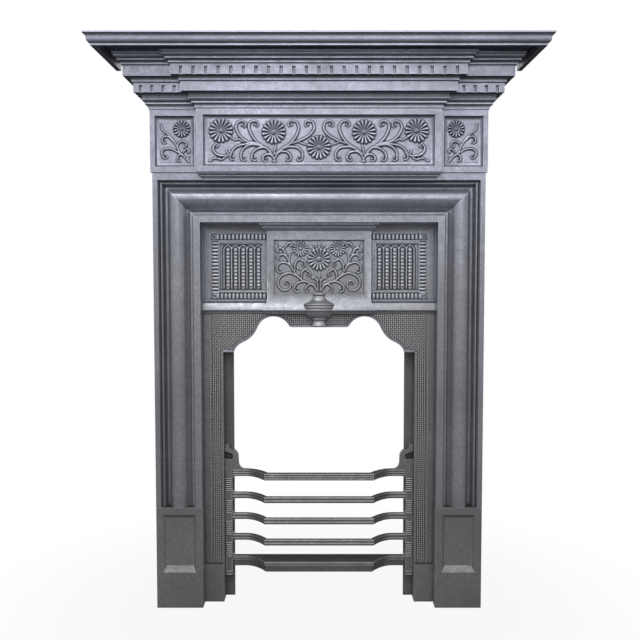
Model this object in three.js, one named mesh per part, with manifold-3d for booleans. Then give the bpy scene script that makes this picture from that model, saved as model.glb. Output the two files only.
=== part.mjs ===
// Cast iron combination fireplace: a moulded surround with a mantel shelf, and
// an insert with a decorated hood, a shaped apron and lift-off fire bars.
// Millimetres, +Z up, +X to the viewer's right, the front faces -Y.
// The sizes below are measured from the plinth face (Y = 0), the floor (Z = 0)
// and the centre line (X = 0); the last group moves the whole to its origin.

import * as THREE from 'three';
import { mergeVertices } from 'three/addons/utils/BufferGeometryUtils.js';
import Module from 'manifold-3d';

const wasm = await Module();
wasm.setup();

// ---------------------------------------------------------------- sizes

// Shared
const GAP = 0.3; // between two castings that touch
const WALL = 6; // thickness of a casting
const CURVE_STEPS = 6; // straight steps in each curved stretch of a moulding
const BAR_STEPS = 4; // the same on the fire bars and the urn

// Surround: opening, jambs and lintel
const OPENING_WIDTH = 515;
const OPENING_HEIGHT = 850;
const ROLL_WIDTH = 77; // moulded part of a jamb or lintel
const STRIP_WIDTH = 13; // plain strip next to the opening
const JAMB_BAND = 10.5; // plain band along the outer edge of a jamb
const LINTEL_BAND = 15.5; // plain band above the lintel's moulding
const VALLEY = 27; // depth of the two hollows in the moulding
const STRIP_SETBACK = 2;
const BODY_DEPTH = 110; // plinth face to the wall
const LINTEL_FLANGE = 40;
const MITRE_SHIFT = GAP * Math.SQRT1_2; // half the gap at a mitre, measured upright
const CORNER_MARGIN = 20;
const FAR = 1500; // well outside the object

// Plinths
const PLINTH_HEIGHT = 225.5;
const PLINTH_PROUD = 1.5; // how far a plinth reaches past its jamb into the opening
const PLINTH_PANEL_MARGIN = 15;
const PLINTH_BEVEL = 6;
const PLINTH_FOOT = 24; // inside flange that stands on the floor
const PLINTH_PANEL_BOTTOM = 82.5;
const PLINTH_PANEL_TOP_MARGIN = 16.5;
const PANEL_DEPTH = 5;

// Frieze
const FRIEZE_HEIGHT = 131.5;
const FRIEZE_PROUD = 3.5; // frieze ends ahead of the jambs, to the front and the sides
const BREAK_WIDTH = 520; // middle part that stands forward
const BREAK_DEPTH = 17;
const FRIEZE_FLANGE = 44;
const FRIEZE_RECESS_DEPTH = 8;
const FRIEZE_RECESS_BORDER = 8;
const FRIEZE_RAIL = 12; // plain rail above and below a recess
const FRIEZE_STILE = 14.5; // plain rail beside the middle recess
const FRIEZE_END_STILE = 10.5;
const BED_MOULD_DROP = 17; // moulding under the middle part, over the lintel's band

// Cornice and shelf
const CORNICE_HEIGHT = 108; // frieze top to the top of the last fillet
const CORNICE_PROJECTION = 64;
const DENTIL_SLOT = 7.4;
const DENTIL_SLOT_DEPTH = 4;
const DENTIL_COUNT = 23; // slots across the middle part
const DENTIL_PITCH = 25.85;
const END_DENTIL_COUNT = 4;
const END_DENTIL_PITCH = 23.4;
const SIDE_DENTIL_COUNT = 6;
const SHELF_SIDE_OVERHANG = 44.5; // shelf past the cornice's top fillet
const SHELF_FRONT_OVERHANG = 43.5;
const SHELF_THICKNESS = 25;
const SHELF_PLATE = 8;
const SHELF_RIM = 24; // width of the moulded rim

// Insert
const INSERT_FACE = 44; // leg and apron face behind the plinth face
const INSERT_FLANGE = 27; // how far the insert reaches behind the jambs
const LEG_WIDTH = 44;
const LEG_PLINTH_HEIGHT = 85;
const LEG_PLINTH_PROUD = 8;
const LEG_FILLET = 5;
const LEG_FILLET_PROUD = 2;
const LEG_CHANNEL = 14.5; // smooth channel along the outer side of a leg
const LEG_EDGE = 2; // raised edge beside the channel
const CHEEK_FACE = 76;
const CHEEK_REACH = 64.5; // inner edge of a cheek inside the opening's side
const CHEEK_DROP = 11; // top of a cheek below the ledge
const CHEEK_RETURN = 48;
const CHEEK_MARGIN = 7.5; // outer edge of a cheek inside the opening's side
const BRACKET_DROP = 87; // underside of the apron's end brackets below the ledge
const BRACKET_REACH = 190;
const CUSP_X = 168;
const CUSP_DROP = 64;
const LOBE_X = 101; // centre of the round lobe beside the middle drop
const LOBE_DROP = 45.6;
const LOBE_RADIUS = 38.6;
const LOBE_START = 0.46; // angles where the lobe's arc starts and ends
const LOBE_END = 0.56;
const DROP_X = 61; // half width of the middle drop
const MIDDLE_DROP = 31; // underside of the middle drop below the ledge

// Hood
const HOOD_HEIGHT = 199; // underside of the ledge to the top of the opening
const LEDGE_LIP_HEIGHT = 17;
const LEDGE_HEIGHT = 28;
const LEDGE_PROJECTION = 8;
const HOOD_CENTRE_WIDTH = 228;
const HOOD_CENTRE_FACE = 28;
const HOOD_SIDE_FACE = 38; // rim of the hollow border
const HOOD_FIELD_DEPTH = 13; // flute strip behind that rim
const HOOD_COVE = 15.5; // width of the hollow border at the side
const HOOD_COVE_TOP = 21.5;
const HOOD_BEAD_RECESS = 4;
const HOOD_FRAME = 14.5;
const HOOD_RECESS_DEPTH = 5;
const HOOD_CORNICE_HEIGHT = 22;
const HOOD_CORNICE_PROJECTION = 16;
const HOOD_JOINT_DEPTH = 78; // where the hood's joint flanges end
const FLUTE_STRIP = 15;
const BEAD_MARGIN = 12;
const URN_RADIUS = 35;
const URN_HALF_DEPTH = 16;
const URN_FOOT = 18;
const URN_BOLT_DEPTH = 10; // how far its bolt reaches into the urn
const URN_NECK = 11.5;

// Fire bars
const STILE_WIDTH = 16.3;
const STILE_CLEARANCE = 0.7; // beside the leg
const STILE_FACE = 60;
const STILE_THICKNESS = 12;
const STILE_BOTTOM = 53;
const STILE_TOP = 320;
const BAR_FRONT = 20; // straight run of the bars behind the plinth face
const BAR_KINK_X = 122;
const BAR_BEND_X = 165;
const TOP_BAR_HEIGHT = 15;
const TOP_BAR_THICKNESS = 14;
const TOP_BAR_BOTTOM = 280.5;
const BAR_HEIGHT = 13.5;
const BAR_THICKNESS = 10;
const BAR_BOTTOMS = [229.5, 181.5, 133.5];
const BOTTOM_BAR_BOTTOM = 72.5;
const BOTTOM_BAR_HEIGHT = 24.5;
const BOTTOM_BAR_BACK = 74;
const LEDGE_PLATE = 5;
const WEB_REACH = 30;
const WEB_THICKNESS = 8;
const BAR_FILLET = 8; // radius where a bar meets its stile
const HOOK_WIDTH = 8;
const HOOK_HEIGHT = 8;
const HOOK_DROP = 10;
const HOOK_TONGUE = 5;
const HOOK_LEVELS = [112, 245];
const HOOK_CLEARANCE = 0.6;
const LIFT = 12; // lift that frees the hooks

// Smoke throat and damper
const THROAT_HALF_WIDTH = 170;
const THROAT_DROP = 145; // bottom of the throat below the top of the opening
const THROAT_TOP_DROP = 12;
const THROAT_BACK = 175;
const THROAT_WALL = 5;
const THROAT_FLANGE = 28;
const THROAT_HOLE_HALF_WIDTH = 125;
const THROAT_HOLE_FRONT = 96;
const THROAT_HOLE_BACK = 150;
const DAMPER_OVERLAP = 7;
const DAMPER_THICKNESS = 5;
const DAMPER_PIN_RADIUS = 4;
const DAMPER_PIN_LENGTH = 34;
const DAMPER_KNUCKLE_RADIUS = 8;
const DAMPER_KNUCKLE_LENGTH = 14;
const DAMPER_KNUCKLE_X = 95;
const DAMPER_EAR = 7;
const PIN_CLEARANCE = 0.35;

// Fasteners and straps
const BOLT_RADIUS = 4;
const BOLT_HEAD = 13;
const BOLT_HEAD_HEIGHT = 5.5;
const BOLT_CLEARANCE = 0.35;
const BOSS_RADIUS = 10;
const BOSS_DEPTH = 9; // how far a bolt reaches into its boss
const STRAP_THICKNESS = 5;
const STRAP_BOLT_REACH = 7;
const FLANGE_BOLT_LENGTH = 18;
const SHELF_BOLT_LENGTH = 17.5;
const SHELF_BOLT_X = 180;
const SHELF_BOLT_DEPTH = 60; // of the bolts at the sides, from the plinth face
const MIDDLE_BOLT_X = 150;
const END_BOLT_X = 300;
const LINTEL_BOLT_DEPTH = 18;
const INSERT_BOLT_LEVEL = 320; // the lower ones; the upper are set below the ledge
const INSERT_BOLT_DROP = 41;
const CHEEK_BOLT_LEVEL = 165;
const CHEEK_BOLT_DROP = 111;
const HOOD_BOLT_DROP = 85; // below the top of the opening, as the next three
const JOINT_BOLT_DROP = 50;
const THROAT_BOLT_DROP = 28;
const LUG_DROP = 50;
const LUG_LEVEL = 290; // lower wall lug on the back of each jamb
const LUG_REACH = 26;
const LUG_HEIGHT = 44;
const LUG_THICKNESS = 6;
const LUG_HOLE_RADIUS = 4.5;
const STRAP_WIDTH = 24;
const STRAP_REACH = 31; // strap bolt from the joint, along each axis
const STRAP_FACE = 40;

// ------------------------------------------------------- derived places

const openingX = OPENING_WIDTH / 2;
const mouldingWidth = ROLL_WIDTH + STRIP_WIDTH;
const rollX = openingX + mouldingWidth; // where a jamb's moulding meets its band
const rollZ = OPENING_HEIGHT + mouldingWidth; // the same on the lintel
const bodyX = rollX + JAMB_BAND;
const lintelTop = rollZ + LINTEL_BAND;
const friezeBottom = lintelTop + GAP;
const friezeTop = lintelTop + FRIEZE_HEIGHT;
const corniceBottom = friezeTop + GAP;
const corniceTop = friezeTop + CORNICE_HEIGHT;
const shelfTop = corniceTop + SHELF_THICKNESS;
const plateUnderside = shelfTop - SHELF_PLATE;
const friezeX = bodyX + FRIEZE_PROUD;
const endFace = -FRIEZE_PROUD;
const middleFace = -FRIEZE_PROUD - BREAK_DEPTH;
const breakX = BREAK_WIDTH / 2;
const shelfX = friezeX + CORNICE_PROJECTION + SHELF_SIDE_OVERHANG;
const shelfFront = CORNICE_PROJECTION + SHELF_FRONT_OVERHANG - middleFace;
const legInner = openingX - LEG_WIDTH;
const insertOuter = openingX + INSERT_FLANGE;
const insertBack = INSERT_FACE + WALL;
const hoodX = HOOD_CENTRE_WIDTH / 2;
const hoodTop = OPENING_HEIGHT - GAP;
const ledgeBottom = OPENING_HEIGHT - HOOD_HEIGHT;
const ledgeLip = ledgeBottom + LEDGE_LIP_HEIGHT; // top of the insert frame, behind the ledge
const ledgeTop = ledgeBottom + LEDGE_HEIGHT;
const bracketZ = ledgeBottom - BRACKET_DROP;
const cuspZ = ledgeBottom - CUSP_DROP;
const lobeZ = ledgeBottom - LOBE_DROP;
const dropZ = ledgeBottom - MIDDLE_DROP;
const cheekTop = ledgeBottom - CHEEK_DROP;
const throatBottom = OPENING_HEIGHT - THROAT_DROP;
const throatTop = OPENING_HEIGHT - THROAT_TOP_DROP;
const insertBoltLevels = [INSERT_BOLT_LEVEL, ledgeBottom - INSERT_BOLT_DROP];
const cheekBoltLevels = [CHEEK_BOLT_LEVEL, ledgeBottom - CHEEK_BOLT_DROP];
const hoodBoltLevel = OPENING_HEIGHT - HOOD_BOLT_DROP;
const jointBoltLevel = OPENING_HEIGHT - JOINT_BOLT_DROP;
const throatBoltLevel = OPENING_HEIGHT - THROAT_BOLT_DROP;
const lugLevels = [LUG_LEVEL, OPENING_HEIGHT - LUG_DROP];
const hoodPanelTop = hoodTop - HOOD_CORNICE_HEIGHT;
const hoodSideBack = HOOD_SIDE_FACE + HOOD_FIELD_DEPTH + HOOD_BEAD_RECESS + WALL;
const cheekInner = openingX - CHEEK_REACH;
const cheekOuter = openingX - CHEEK_MARGIN;
const stileOuter = legInner - STILE_CLEARANCE;
const stileInner = stileOuter - STILE_WIDTH;
const cheekBoltX = openingX - 24;
const throatFace = hoodSideBack + GAP;
const earInner = DAMPER_KNUCKLE_X + DAMPER_KNUCKLE_LENGTH / 2 + HOOK_CLEARANCE;
const hookX = (stileInner + stileOuter) / 2;
const hingeY = THROAT_HOLE_BACK + DAMPER_OVERLAP + DAMPER_KNUCKLE_RADIUS;
const hingeZ = throatTop + GAP + DAMPER_KNUCKLE_RADIUS;
const originY = (THROAT_BACK - shelfFront) / 2;

// -------------------------------------------------------------- helpers

/** A closed three.js geometry as a solid that can be joined and cut. */
function solid(geometry) {
  geometry.deleteAttribute('normal');
  geometry.deleteAttribute('uv');
  const welded = mergeVertices(geometry, 1e-4);
  return new wasm.Manifold(new wasm.Mesh({
    numProp: 3,
    vertProperties: new Float32Array(welded.attributes.position.array),
    triVerts: new Uint32Array(welded.index.array),
  }));
}

/** The solid's surface as a three.js geometry. */
function geometryOf(body) {
  const mesh = body.getMesh();
  const geometry = new THREE.BufferGeometry();
  geometry.setAttribute('position', new THREE.BufferAttribute(mesh.vertProperties, 3));
  geometry.setIndex(new THREE.BufferAttribute(mesh.triVerts, 1));
  return geometry;
}

const joined = (first, ...rest) => rest.reduce((sum, next) => sum.add(next), first);
const cut = (first, ...rest) => rest.reduce((left, next) => left.subtract(next), first);

/** A block between two X, two Y and two Z places, in any order. */
function block(x0, x1, y0, y1, z0, z1) {
  const geometry = new THREE.BoxGeometry(Math.abs(x1 - x0), Math.abs(y1 - y0), Math.abs(z1 - z0));
  geometry.translate((x0 + x1) / 2, (y0 + y1) / 2, (z0 + z1) / 2);
  return solid(geometry);
}

/** A shape drawn in X and Z, extruded from y0 back to y1. */
function slab(shape, y0, y1) {
  const geometry = new THREE.ExtrudeGeometry(shape, {
    depth: y1 - y0, bevelEnabled: false, curveSegments: 8,
  });
  geometry.rotateX(Math.PI / 2);
  geometry.translate(0, y1, 0);
  return solid(geometry);
}

/** A round bar from one point to another. */
function rod(from, to, radius, sides = 10) {
  const axis = to.clone().sub(from);
  const geometry = new THREE.CylinderGeometry(radius, radius, axis.length(), sides);
  const turn = new THREE.Quaternion().setFromUnitVectors(
    new THREE.Vector3(0, 1, 0), axis.clone().normalize());
  geometry.applyQuaternion(turn);
  geometry.translate(...from.clone().add(to).multiplyScalar(0.5).toArray());
  return solid(geometry);
}

const point = (x, y, z) => new THREE.Vector3(x, y, z);

/** The mirror image across the centre line. */
function mirrored(body) {
  const geometry = geometryOf(body);
  geometry.scale(-1, 1, 1);
  const index = geometry.index.array;
  for (let i = 0; i < index.length; i += 3) {
    [index[i], index[i + 1]] = [index[i + 1], index[i]];
  }
  return solid(geometry);
}

/**
 * Closed rings of equal length, skinned one to the next and capped with the
 * triangles of the flat outline that they all share.
 */
function skin(rings, outline) {
  const count = outline.length;
  const positions = rings.flatMap((ring) => ring.flatMap((p) => p.toArray()));
  const index = [];
  for (let r = 0; r + 1 < rings.length; r += 1) {
    for (let i = 0; i < count; i += 1) {
      const a = r * count + i;
      const b = r * count + (i + 1) % count;
      index.push(a, b + count, b, a, a + count, b + count);
    }
  }
  const last = (rings.length - 1) * count;
  for (const [a, b, c] of THREE.ShapeUtils.triangulateShape(outline, [])) {
    index.push(a, b, c, last + a, last + c, last + b);
  }
  const geometry = new THREE.BufferGeometry();
  geometry.setAttribute('position', new THREE.Float32BufferAttribute(positions, 3));
  geometry.setIndex(index);
  return solid(geometry);
}

/**
 * A moulding: an outline of (offset to the right of the path, height above
 * base) swept along a plan path of (x, y) points, mitred at each corner.
 */
function moulding(outline, path, base) {
  const points = THREE.ShapeUtils.isClockWise(outline) ? outline.slice().reverse() : outline;
  const normal = (from, to) => {
    const d = to.clone().sub(from).normalize();
    return new THREE.Vector2(d.y, -d.x);
  };
  const rings = path.map((corner, i) => {
    const before = i > 0 ? normal(path[i - 1], corner) : normal(corner, path[1]);
    const after = i + 1 < path.length ? normal(corner, path[i + 1]) : before;
    const mitre = before.clone().add(after);
    mitre.multiplyScalar(2 / mitre.lengthSq());
    return points.map((p) => point(corner.x + mitre.x * p.x, corner.y + mitre.y * p.x, base + p.y));
  });
  return skin(rings, points);
}

/** The points of a path that is drawn with lines and curves. */
function outlineOf(draw, steps = CURVE_STEPS) {
  const shape = new THREE.Shape();
  draw(shape);
  const points = shape.getPoints(steps);
  if (points[0].distanceTo(points[points.length - 1]) < 1e-6) {
    points.pop();
  }
  return points;
}

const plan = (...pairs) => pairs.map(([x, y]) => new THREE.Vector2(x, y));

/**
 * A sunk panel to cut away: an opening in a face, with a hollow border that
 * runs in to a smaller floor. Borders are left, right, bottom and top.
 */
function sunkPanel(x0, x1, z0, z1, face, depth, [left, right, bottom, top], hollow = true) {
  const steps = hollow ? CURVE_STEPS : 1;
  const rim = [[x0, z0], [x1, z0], [x1, z1], [x0, z1]];
  const inward = [[left, bottom], [-right, bottom], [-right, -top], [left, -top]];
  const ring = (share, y) => rim.map(([x, z], i) => (
    point(x + inward[i][0] * share, y, z + inward[i][1] * share)));
  const rings = [ring(0, face - 1), ring(0, face)];
  for (let i = 1; i <= steps; i += 1) {
    const angle = (i / steps) * Math.PI / 2;
    const share = hollow ? 1 - Math.cos(angle) : 1;
    rings.push(ring(share, face + depth * Math.sin(angle)));
  }
  return skin(rings, plan(...rim));
}

// ---------------------------------------------------------------- bolts

const bolts = [];

/**
 * A square-headed bolt. Its head sits on a face at `seat`, and its shank runs
 * along `into` for `length`. The hole for it is returned, to be cut away.
 */
function bolt(name, seat, into, length) {
  const start = seat.clone().addScaledVector(into, -GAP);
  const turn = new THREE.Quaternion().setFromUnitVectors(point(0, 1, 0), into);
  const head = new THREE.BoxGeometry(BOLT_HEAD, BOLT_HEAD_HEIGHT, BOLT_HEAD);
  head.translate(0, -BOLT_HEAD_HEIGHT / 2, 0);
  head.applyQuaternion(turn);
  head.translate(...start.toArray());
  const tip = start.clone().addScaledVector(into, length);
  const inside = start.clone().addScaledVector(into, -BOLT_HEAD_HEIGHT / 2);
  bolts.push([name, solid(head).add(rod(inside, tip, BOLT_RADIUS))]);
  const bottom = tip.clone().addScaledVector(into, 1);
  return rod(start.clone().addScaledVector(into, -1), bottom, BOLT_RADIUS + BOLT_CLEARANCE);
}

const UP = point(0, 0, 1);
const DOWN = point(0, 0, -1);
const FORWARD = point(0, -1, 0);

/** Names, solids and holes of a bolt on each side of the centre line. */
function boltPair(name, x, y, z, into, length) {
  return [-1, 1].map((side) => {
    const direction = point(into.x * side, into.y, into.z);
    return bolt(`${name}_${side < 0 ? 'left' : 'right'}`, point(x * side, y, z), direction, length);
  });
}

// ----------------------------------------------------- jambs and lintel

/**
 * Section of the jambs and the lintel. The first value runs inwards from the
 * edge of the moulding, the second back from the face.
 */
function frameOutline(band, outerDepth, innerDepth) {
  const k = ROLL_WIDTH / 77;
  const back = VALLEY + WALL;
  return outlineOf((s) => {
    s.moveTo(-band, outerDepth);
    s.lineTo(-band, 0);
    s.lineTo(0, 0);
    s.lineTo(1.5 * k, 6);
    s.lineTo(3.5 * k, 9.5);
    s.quadraticCurveTo(6.5 * k, 4.5, 9.5 * k, 11); // bead
    s.lineTo(10.5 * k, VALLEY - 5);
    s.quadraticCurveTo(11 * k, VALLEY, 14.5 * k, VALLEY);
    s.lineTo(18.5 * k, VALLEY); // outer hollow
    s.lineTo(19.5 * k, VALLEY - 6);
    s.quadraticCurveTo(21 * k, 0.5, 36 * k, 0); // roll
    s.lineTo(40 * k, 0);
    s.quadraticCurveTo(51 * k, 1.5, 57 * k, 10);
    s.quadraticCurveTo(61.5 * k, 17, 66.5 * k, 18); // ogee
    s.lineTo(67.5 * k, 14);
    s.lineTo(69 * k, 12);
    s.lineTo(73.5 * k, 12);
    s.lineTo(74.5 * k, 5);
    s.lineTo(76 * k, STRIP_SETBACK);
    s.lineTo(mouldingWidth, STRIP_SETBACK);
    s.lineTo(mouldingWidth, innerDepth);
    s.lineTo(mouldingWidth - WALL, innerDepth);
    s.lineTo(mouldingWidth - WALL, STRIP_SETBACK + WALL);
    s.lineTo(80 * k, STRIP_SETBACK + WALL);
    s.lineTo(73 * k, 20);
    s.lineTo(71 * k, back);
    s.lineTo(63 * k, 25);
    s.lineTo(53 * k, 14);
    s.lineTo(44 * k, WALL + 1);
    s.lineTo(32 * k, WALL + 1);
    s.lineTo(27 * k, 12);
    s.lineTo(24.5 * k, back);
    s.lineTo(9 * k, back);
    s.lineTo(4.5 * k, 18);
    s.lineTo(-3, WALL);
    s.lineTo(-band + WALL, WALL);
    s.lineTo(-band + WALL, outerDepth);
  });
}

const strapX = rollX - 14 * (ROLL_WIDTH / 77); // over the outer hollow of a jamb
const strapZ = rollZ - 14 * (ROLL_WIDTH / 77); // over the outer hollow of the lintel
const jambCorner = [strapX, OPENING_HEIGHT + 14];
const lintelCorner = [openingX + 14, strapZ];
const jambFoot = [strapX, PLINTH_HEIGHT + STRAP_REACH];
const plinthHead = [strapX, PLINTH_HEIGHT - STRAP_REACH];
const insertBoltX = openingX + 14;

/** A round boss on the back of a casting, ready for a bolt. */
function boss(x, z, from, to) {
  return rod(point(x, from, z), point(x, to, z), BOSS_RADIUS, 12);
}

/** Points of the mitre from the opening out to the corner, moved up by shift. */
function mitreLine(shift) {
  return [
    [openingX - CORNER_MARGIN, OPENING_HEIGHT - CORNER_MARGIN + shift],
    [rollX, rollZ + shift],
    [bodyX + GAP, lintelTop + shift],
  ];
}

/** The right-hand jamb, up to the mitre, with its wall lugs. */
function jamb() {
  const innerDepth = INSERT_FACE - GAP;
  const outline = frameOutline(JAMB_BAND, BODY_DEPTH, innerDepth)
    .map((p) => new THREE.Vector2(rollX - p.x, p.y));
  const geometry = new THREE.ExtrudeGeometry(new THREE.Shape(outline), {
    depth: lintelTop - PLINTH_HEIGHT - GAP, bevelEnabled: false,
  });
  geometry.translate(0, 0, PLINTH_HEIGHT + GAP);
  const below = slab(new THREE.Shape(plan(
    [openingX - CORNER_MARGIN, 0], ...mitreLine(-MITRE_SHIFT),
    [FAR, lintelTop - MITRE_SHIFT], [FAR, 0])), -FAR, FAR);
  const lugs = lugLevels.map((z) => cut(
    block(bodyX - WALL - LUG_REACH, bodyX - 1, BODY_DEPTH - LUG_THICKNESS, BODY_DEPTH,
      z - LUG_HEIGHT / 2, z + LUG_HEIGHT / 2),
    rod(point(bodyX - WALL - LUG_REACH / 2, BODY_DEPTH - LUG_THICKNESS - 1, z),
      point(bodyX - WALL - LUG_REACH / 2, BODY_DEPTH + 1, z), LUG_HOLE_RADIUS)));
  const bosses = [jambCorner, jambFoot].map(([x, z]) => boss(x, z, VALLEY + 1, STRAP_FACE - GAP));
  const insertBosses = [...insertBoltLevels, hoodBoltLevel]
    .map((z) => boss(insertBoltX, z, VALLEY + 1, innerDepth));
  return joined(solid(geometry).intersect(below), ...lugs, ...bosses, ...insertBosses);
}

/** The lintel between the two mitres. */
function lintel() {
  const outline = frameOutline(LINTEL_BAND, LINTEL_FLANGE, INSERT_FACE - GAP)
    .map((p) => new THREE.Vector2(p.y, rollZ - p.x));
  const geometry = new THREE.ExtrudeGeometry(new THREE.Shape(outline), {
    depth: bodyX * 2, bevelEnabled: false,
  });
  // the shape's depth, height and length become y, z and x
  geometry.applyMatrix4(new THREE.Matrix4().makeBasis(point(0, 1, 0), point(0, 0, 1), point(1, 0, 0)));
  geometry.translate(-bodyX, 0, 0);
  const right = mitreLine(MITRE_SHIFT);
  const left = right.map(([x, z]) => [-x, z]).reverse();
  const above = slab(new THREE.Shape(plan(
    ...right, [bodyX + GAP, FAR], [-bodyX - GAP, FAR], ...left)), -FAR, FAR);
  const bosses = [-1, 1].map((side) => (
    boss(lintelCorner[0] * side, lintelCorner[1], VALLEY + 1, STRAP_FACE - GAP)));
  return joined(solid(geometry).intersect(above), ...bosses);
}

// -------------------------------------------------------------- plinths

/** The right-hand plinth block, open at the back and below. */
function plinth() {
  const inner = openingX - PLINTH_PROUD;
  const front = WALL + PANEL_DEPTH;
  const shell = cut(
    block(inner, bodyX, 0, BODY_DEPTH, 0, PLINTH_HEIGHT),
    block(inner + WALL, bodyX - WALL, front, FAR, -1, PLINTH_HEIGHT - WALL),
    block(inner - 1, bodyX - WALL, INSERT_FACE - GAP, FAR, -1, PLINTH_HEIGHT + 1),
    // room for the strap
    block(strapX - STRAP_WIDTH / 2 - 1, strapX + STRAP_WIDTH / 2 + 1, STRAP_FACE - GAP, FAR,
      PLINTH_HEIGHT - WALL - 1, PLINTH_HEIGHT + 1),
  );
  const panel = sunkPanel(inner + PLINTH_PANEL_MARGIN, bodyX - PLINTH_PANEL_MARGIN,
    PLINTH_PANEL_BOTTOM, PLINTH_HEIGHT - PLINTH_PANEL_TOP_MARGIN, 0, PANEL_DEPTH,
    [PLINTH_BEVEL, PLINTH_BEVEL, PLINTH_BEVEL * 2, PLINTH_BEVEL], false);
  const foot = block(inner + 1, bodyX - 1, front - 1, front + PLINTH_FOOT, 0, WALL);
  const post = boss(...plinthHead, WALL, STRAP_FACE - GAP);
  return joined(cut(shell, panel), foot, post);
}

// --------------------------------------------------------------- frieze

/** Plan of the front, from the wall round both ends and the middle part. */
const frontPlan = plan(
  [-friezeX, BODY_DEPTH], [-friezeX, endFace], [-breakX, endFace], [-breakX, middleFace],
  [breakX, middleFace], [breakX, endFace], [friezeX, endFace], [friezeX, BODY_DEPTH],
);

function frieze() {
  const height = FRIEZE_HEIGHT - GAP;
  const wall = outlineOf((s) => {
    s.moveTo(0, 0);
    s.lineTo(0, height);
    s.lineTo(-FRIEZE_FLANGE, height);
    s.lineTo(-FRIEZE_FLANGE, height - WALL);
    s.lineTo(-WALL, height - WALL);
    s.lineTo(-WALL, WALL);
    s.lineTo(-FRIEZE_FLANGE, WALL);
    s.lineTo(-FRIEZE_FLANGE, 0);
  });
  let body = moulding(wall, frontPlan, friezeBottom);

  // moulding under the middle part, in front of the lintel's plain band
  const drop = BED_MOULD_DROP;
  const bed = outlineOf((s) => {
    s.moveTo(-1.5, 1);
    s.lineTo(-1.5, -1.5);
    s.quadraticCurveTo(-3.5, -6.5, -7.5, -7); // ovolo
    s.lineTo(-7.5, -9);
    s.quadraticCurveTo(-11.5, -9.5, -12.5, -drop + 2); // hollow
    s.lineTo(-12.5, -drop);
    s.lineTo(middleFace + GAP, -drop);
    s.lineTo(middleFace + GAP, 1);
  });
  const bedPlan = plan([-breakX, FRIEZE_FLANGE], [-breakX, middleFace],
    [breakX, middleFace], [breakX, FRIEZE_FLANGE]);
  body = joined(body, cut(moulding(bed, bedPlan, friezeBottom),
    block(-FAR, FAR, -GAP, FAR, friezeBottom - 60, friezeBottom + 0.5)));

  // sunk panels, each with its own thicker back
  const z0 = friezeBottom + FRIEZE_RAIL;
  const z1 = friezeTop - FRIEZE_RAIL;
  const border = [1, 1, 1, 1].map((n) => n * FRIEZE_RECESS_BORDER);
  const endInner = breakX + FRIEZE_STILE / 2;
  const panels = [
    [-breakX + FRIEZE_STILE, breakX - FRIEZE_STILE, middleFace],
    [-friezeX + FRIEZE_END_STILE, -endInner, endFace],
    [endInner, friezeX - FRIEZE_END_STILE, endFace],
  ];
  for (const [x0, x1, face] of panels) {
    const back = block(x0 - 3, x1 + 3, face + 1, face + FRIEZE_RECESS_DEPTH + WALL, z0 - 3, z1 + 3);
    body = cut(joined(body, back), sunkPanel(x0, x1, z0, z1, face, FRIEZE_RECESS_DEPTH, border));
  }
  return body;
}

// -------------------------------------------------------------- cornice

const LOWER_FASCIA = { offset: 28, bottom: 32, top: 51 };
const UPPER_FASCIA = { offset: 46, bottom: 62, top: 83 };
const CORNICE_UPSTAND = 56;
const CORNICE_FLANGE = { inner: 20, outer: 50, bottom: 112, top: 118 };

function corniceOutline() {
  const top = plateUnderside - GAP - corniceBottom;
  const fillet = CORNICE_HEIGHT - GAP;
  return outlineOf((s) => {
    s.moveTo(0, 0);
    s.lineTo(0, 2);
    s.lineTo(2.5, 2);
    s.lineTo(2.5, 5.5);
    s.quadraticCurveTo(3, 10.5, 7, 11);
    s.lineTo(8.5, 11);
    s.lineTo(8.5, 14.5);
    s.lineTo(11, 16);
    s.quadraticCurveTo(16.5, 20, 12.5, 24); // bead
    s.quadraticCurveTo(13, 31, 21, LOWER_FASCIA.bottom); // hollow
    s.lineTo(LOWER_FASCIA.offset, LOWER_FASCIA.bottom);
    s.lineTo(LOWER_FASCIA.offset, LOWER_FASCIA.top);
    s.lineTo(31, 53);
    s.lineTo(31, 56.5);
    s.quadraticCurveTo(32, 61.5, 39, UPPER_FASCIA.bottom);
    s.lineTo(UPPER_FASCIA.offset, UPPER_FASCIA.bottom);
    s.lineTo(UPPER_FASCIA.offset, UPPER_FASCIA.top);
    s.lineTo(49.5, 84.5);
    s.lineTo(49.5, 88);
    s.lineTo(52, 90.5);
    s.lineTo(55.5, 92);
    s.lineTo(55.5, 96);
    s.quadraticCurveTo(61.5, 97, 61.5, 102.5);
    s.lineTo(CORNICE_PROJECTION, 103.7);
    s.lineTo(CORNICE_PROJECTION, fillet);
    s.lineTo(CORNICE_UPSTAND, fillet);
    s.lineTo(CORNICE_UPSTAND, top);
    s.lineTo(CORNICE_FLANGE.outer, top);
    s.lineTo(CORNICE_FLANGE.outer, CORNICE_FLANGE.top);
    s.lineTo(CORNICE_FLANGE.inner, CORNICE_FLANGE.top);
    s.lineTo(CORNICE_FLANGE.inner, CORNICE_FLANGE.bottom);
    s.lineTo(49, CORNICE_FLANGE.bottom);
    s.lineTo(49, 101);
    s.lineTo(43, 91);
    s.lineTo(38.5, 86);
    s.lineTo(38.5, 68.5);
    s.lineTo(32, 68);
    s.lineTo(24, 61);
    s.lineTo(20.5, 55);
    s.lineTo(20.5, 38.5);
    s.lineTo(12, 37.5);
    s.lineTo(5.5, 28);
    s.lineTo(3.5, 18);
    s.lineTo(-2, 13);
    s.lineTo(-WALL, 8);
    s.lineTo(-WALL, WALL);
    s.lineTo(-FRIEZE_FLANGE, WALL);
    s.lineTo(-FRIEZE_FLANGE, 0);
  });
}

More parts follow.
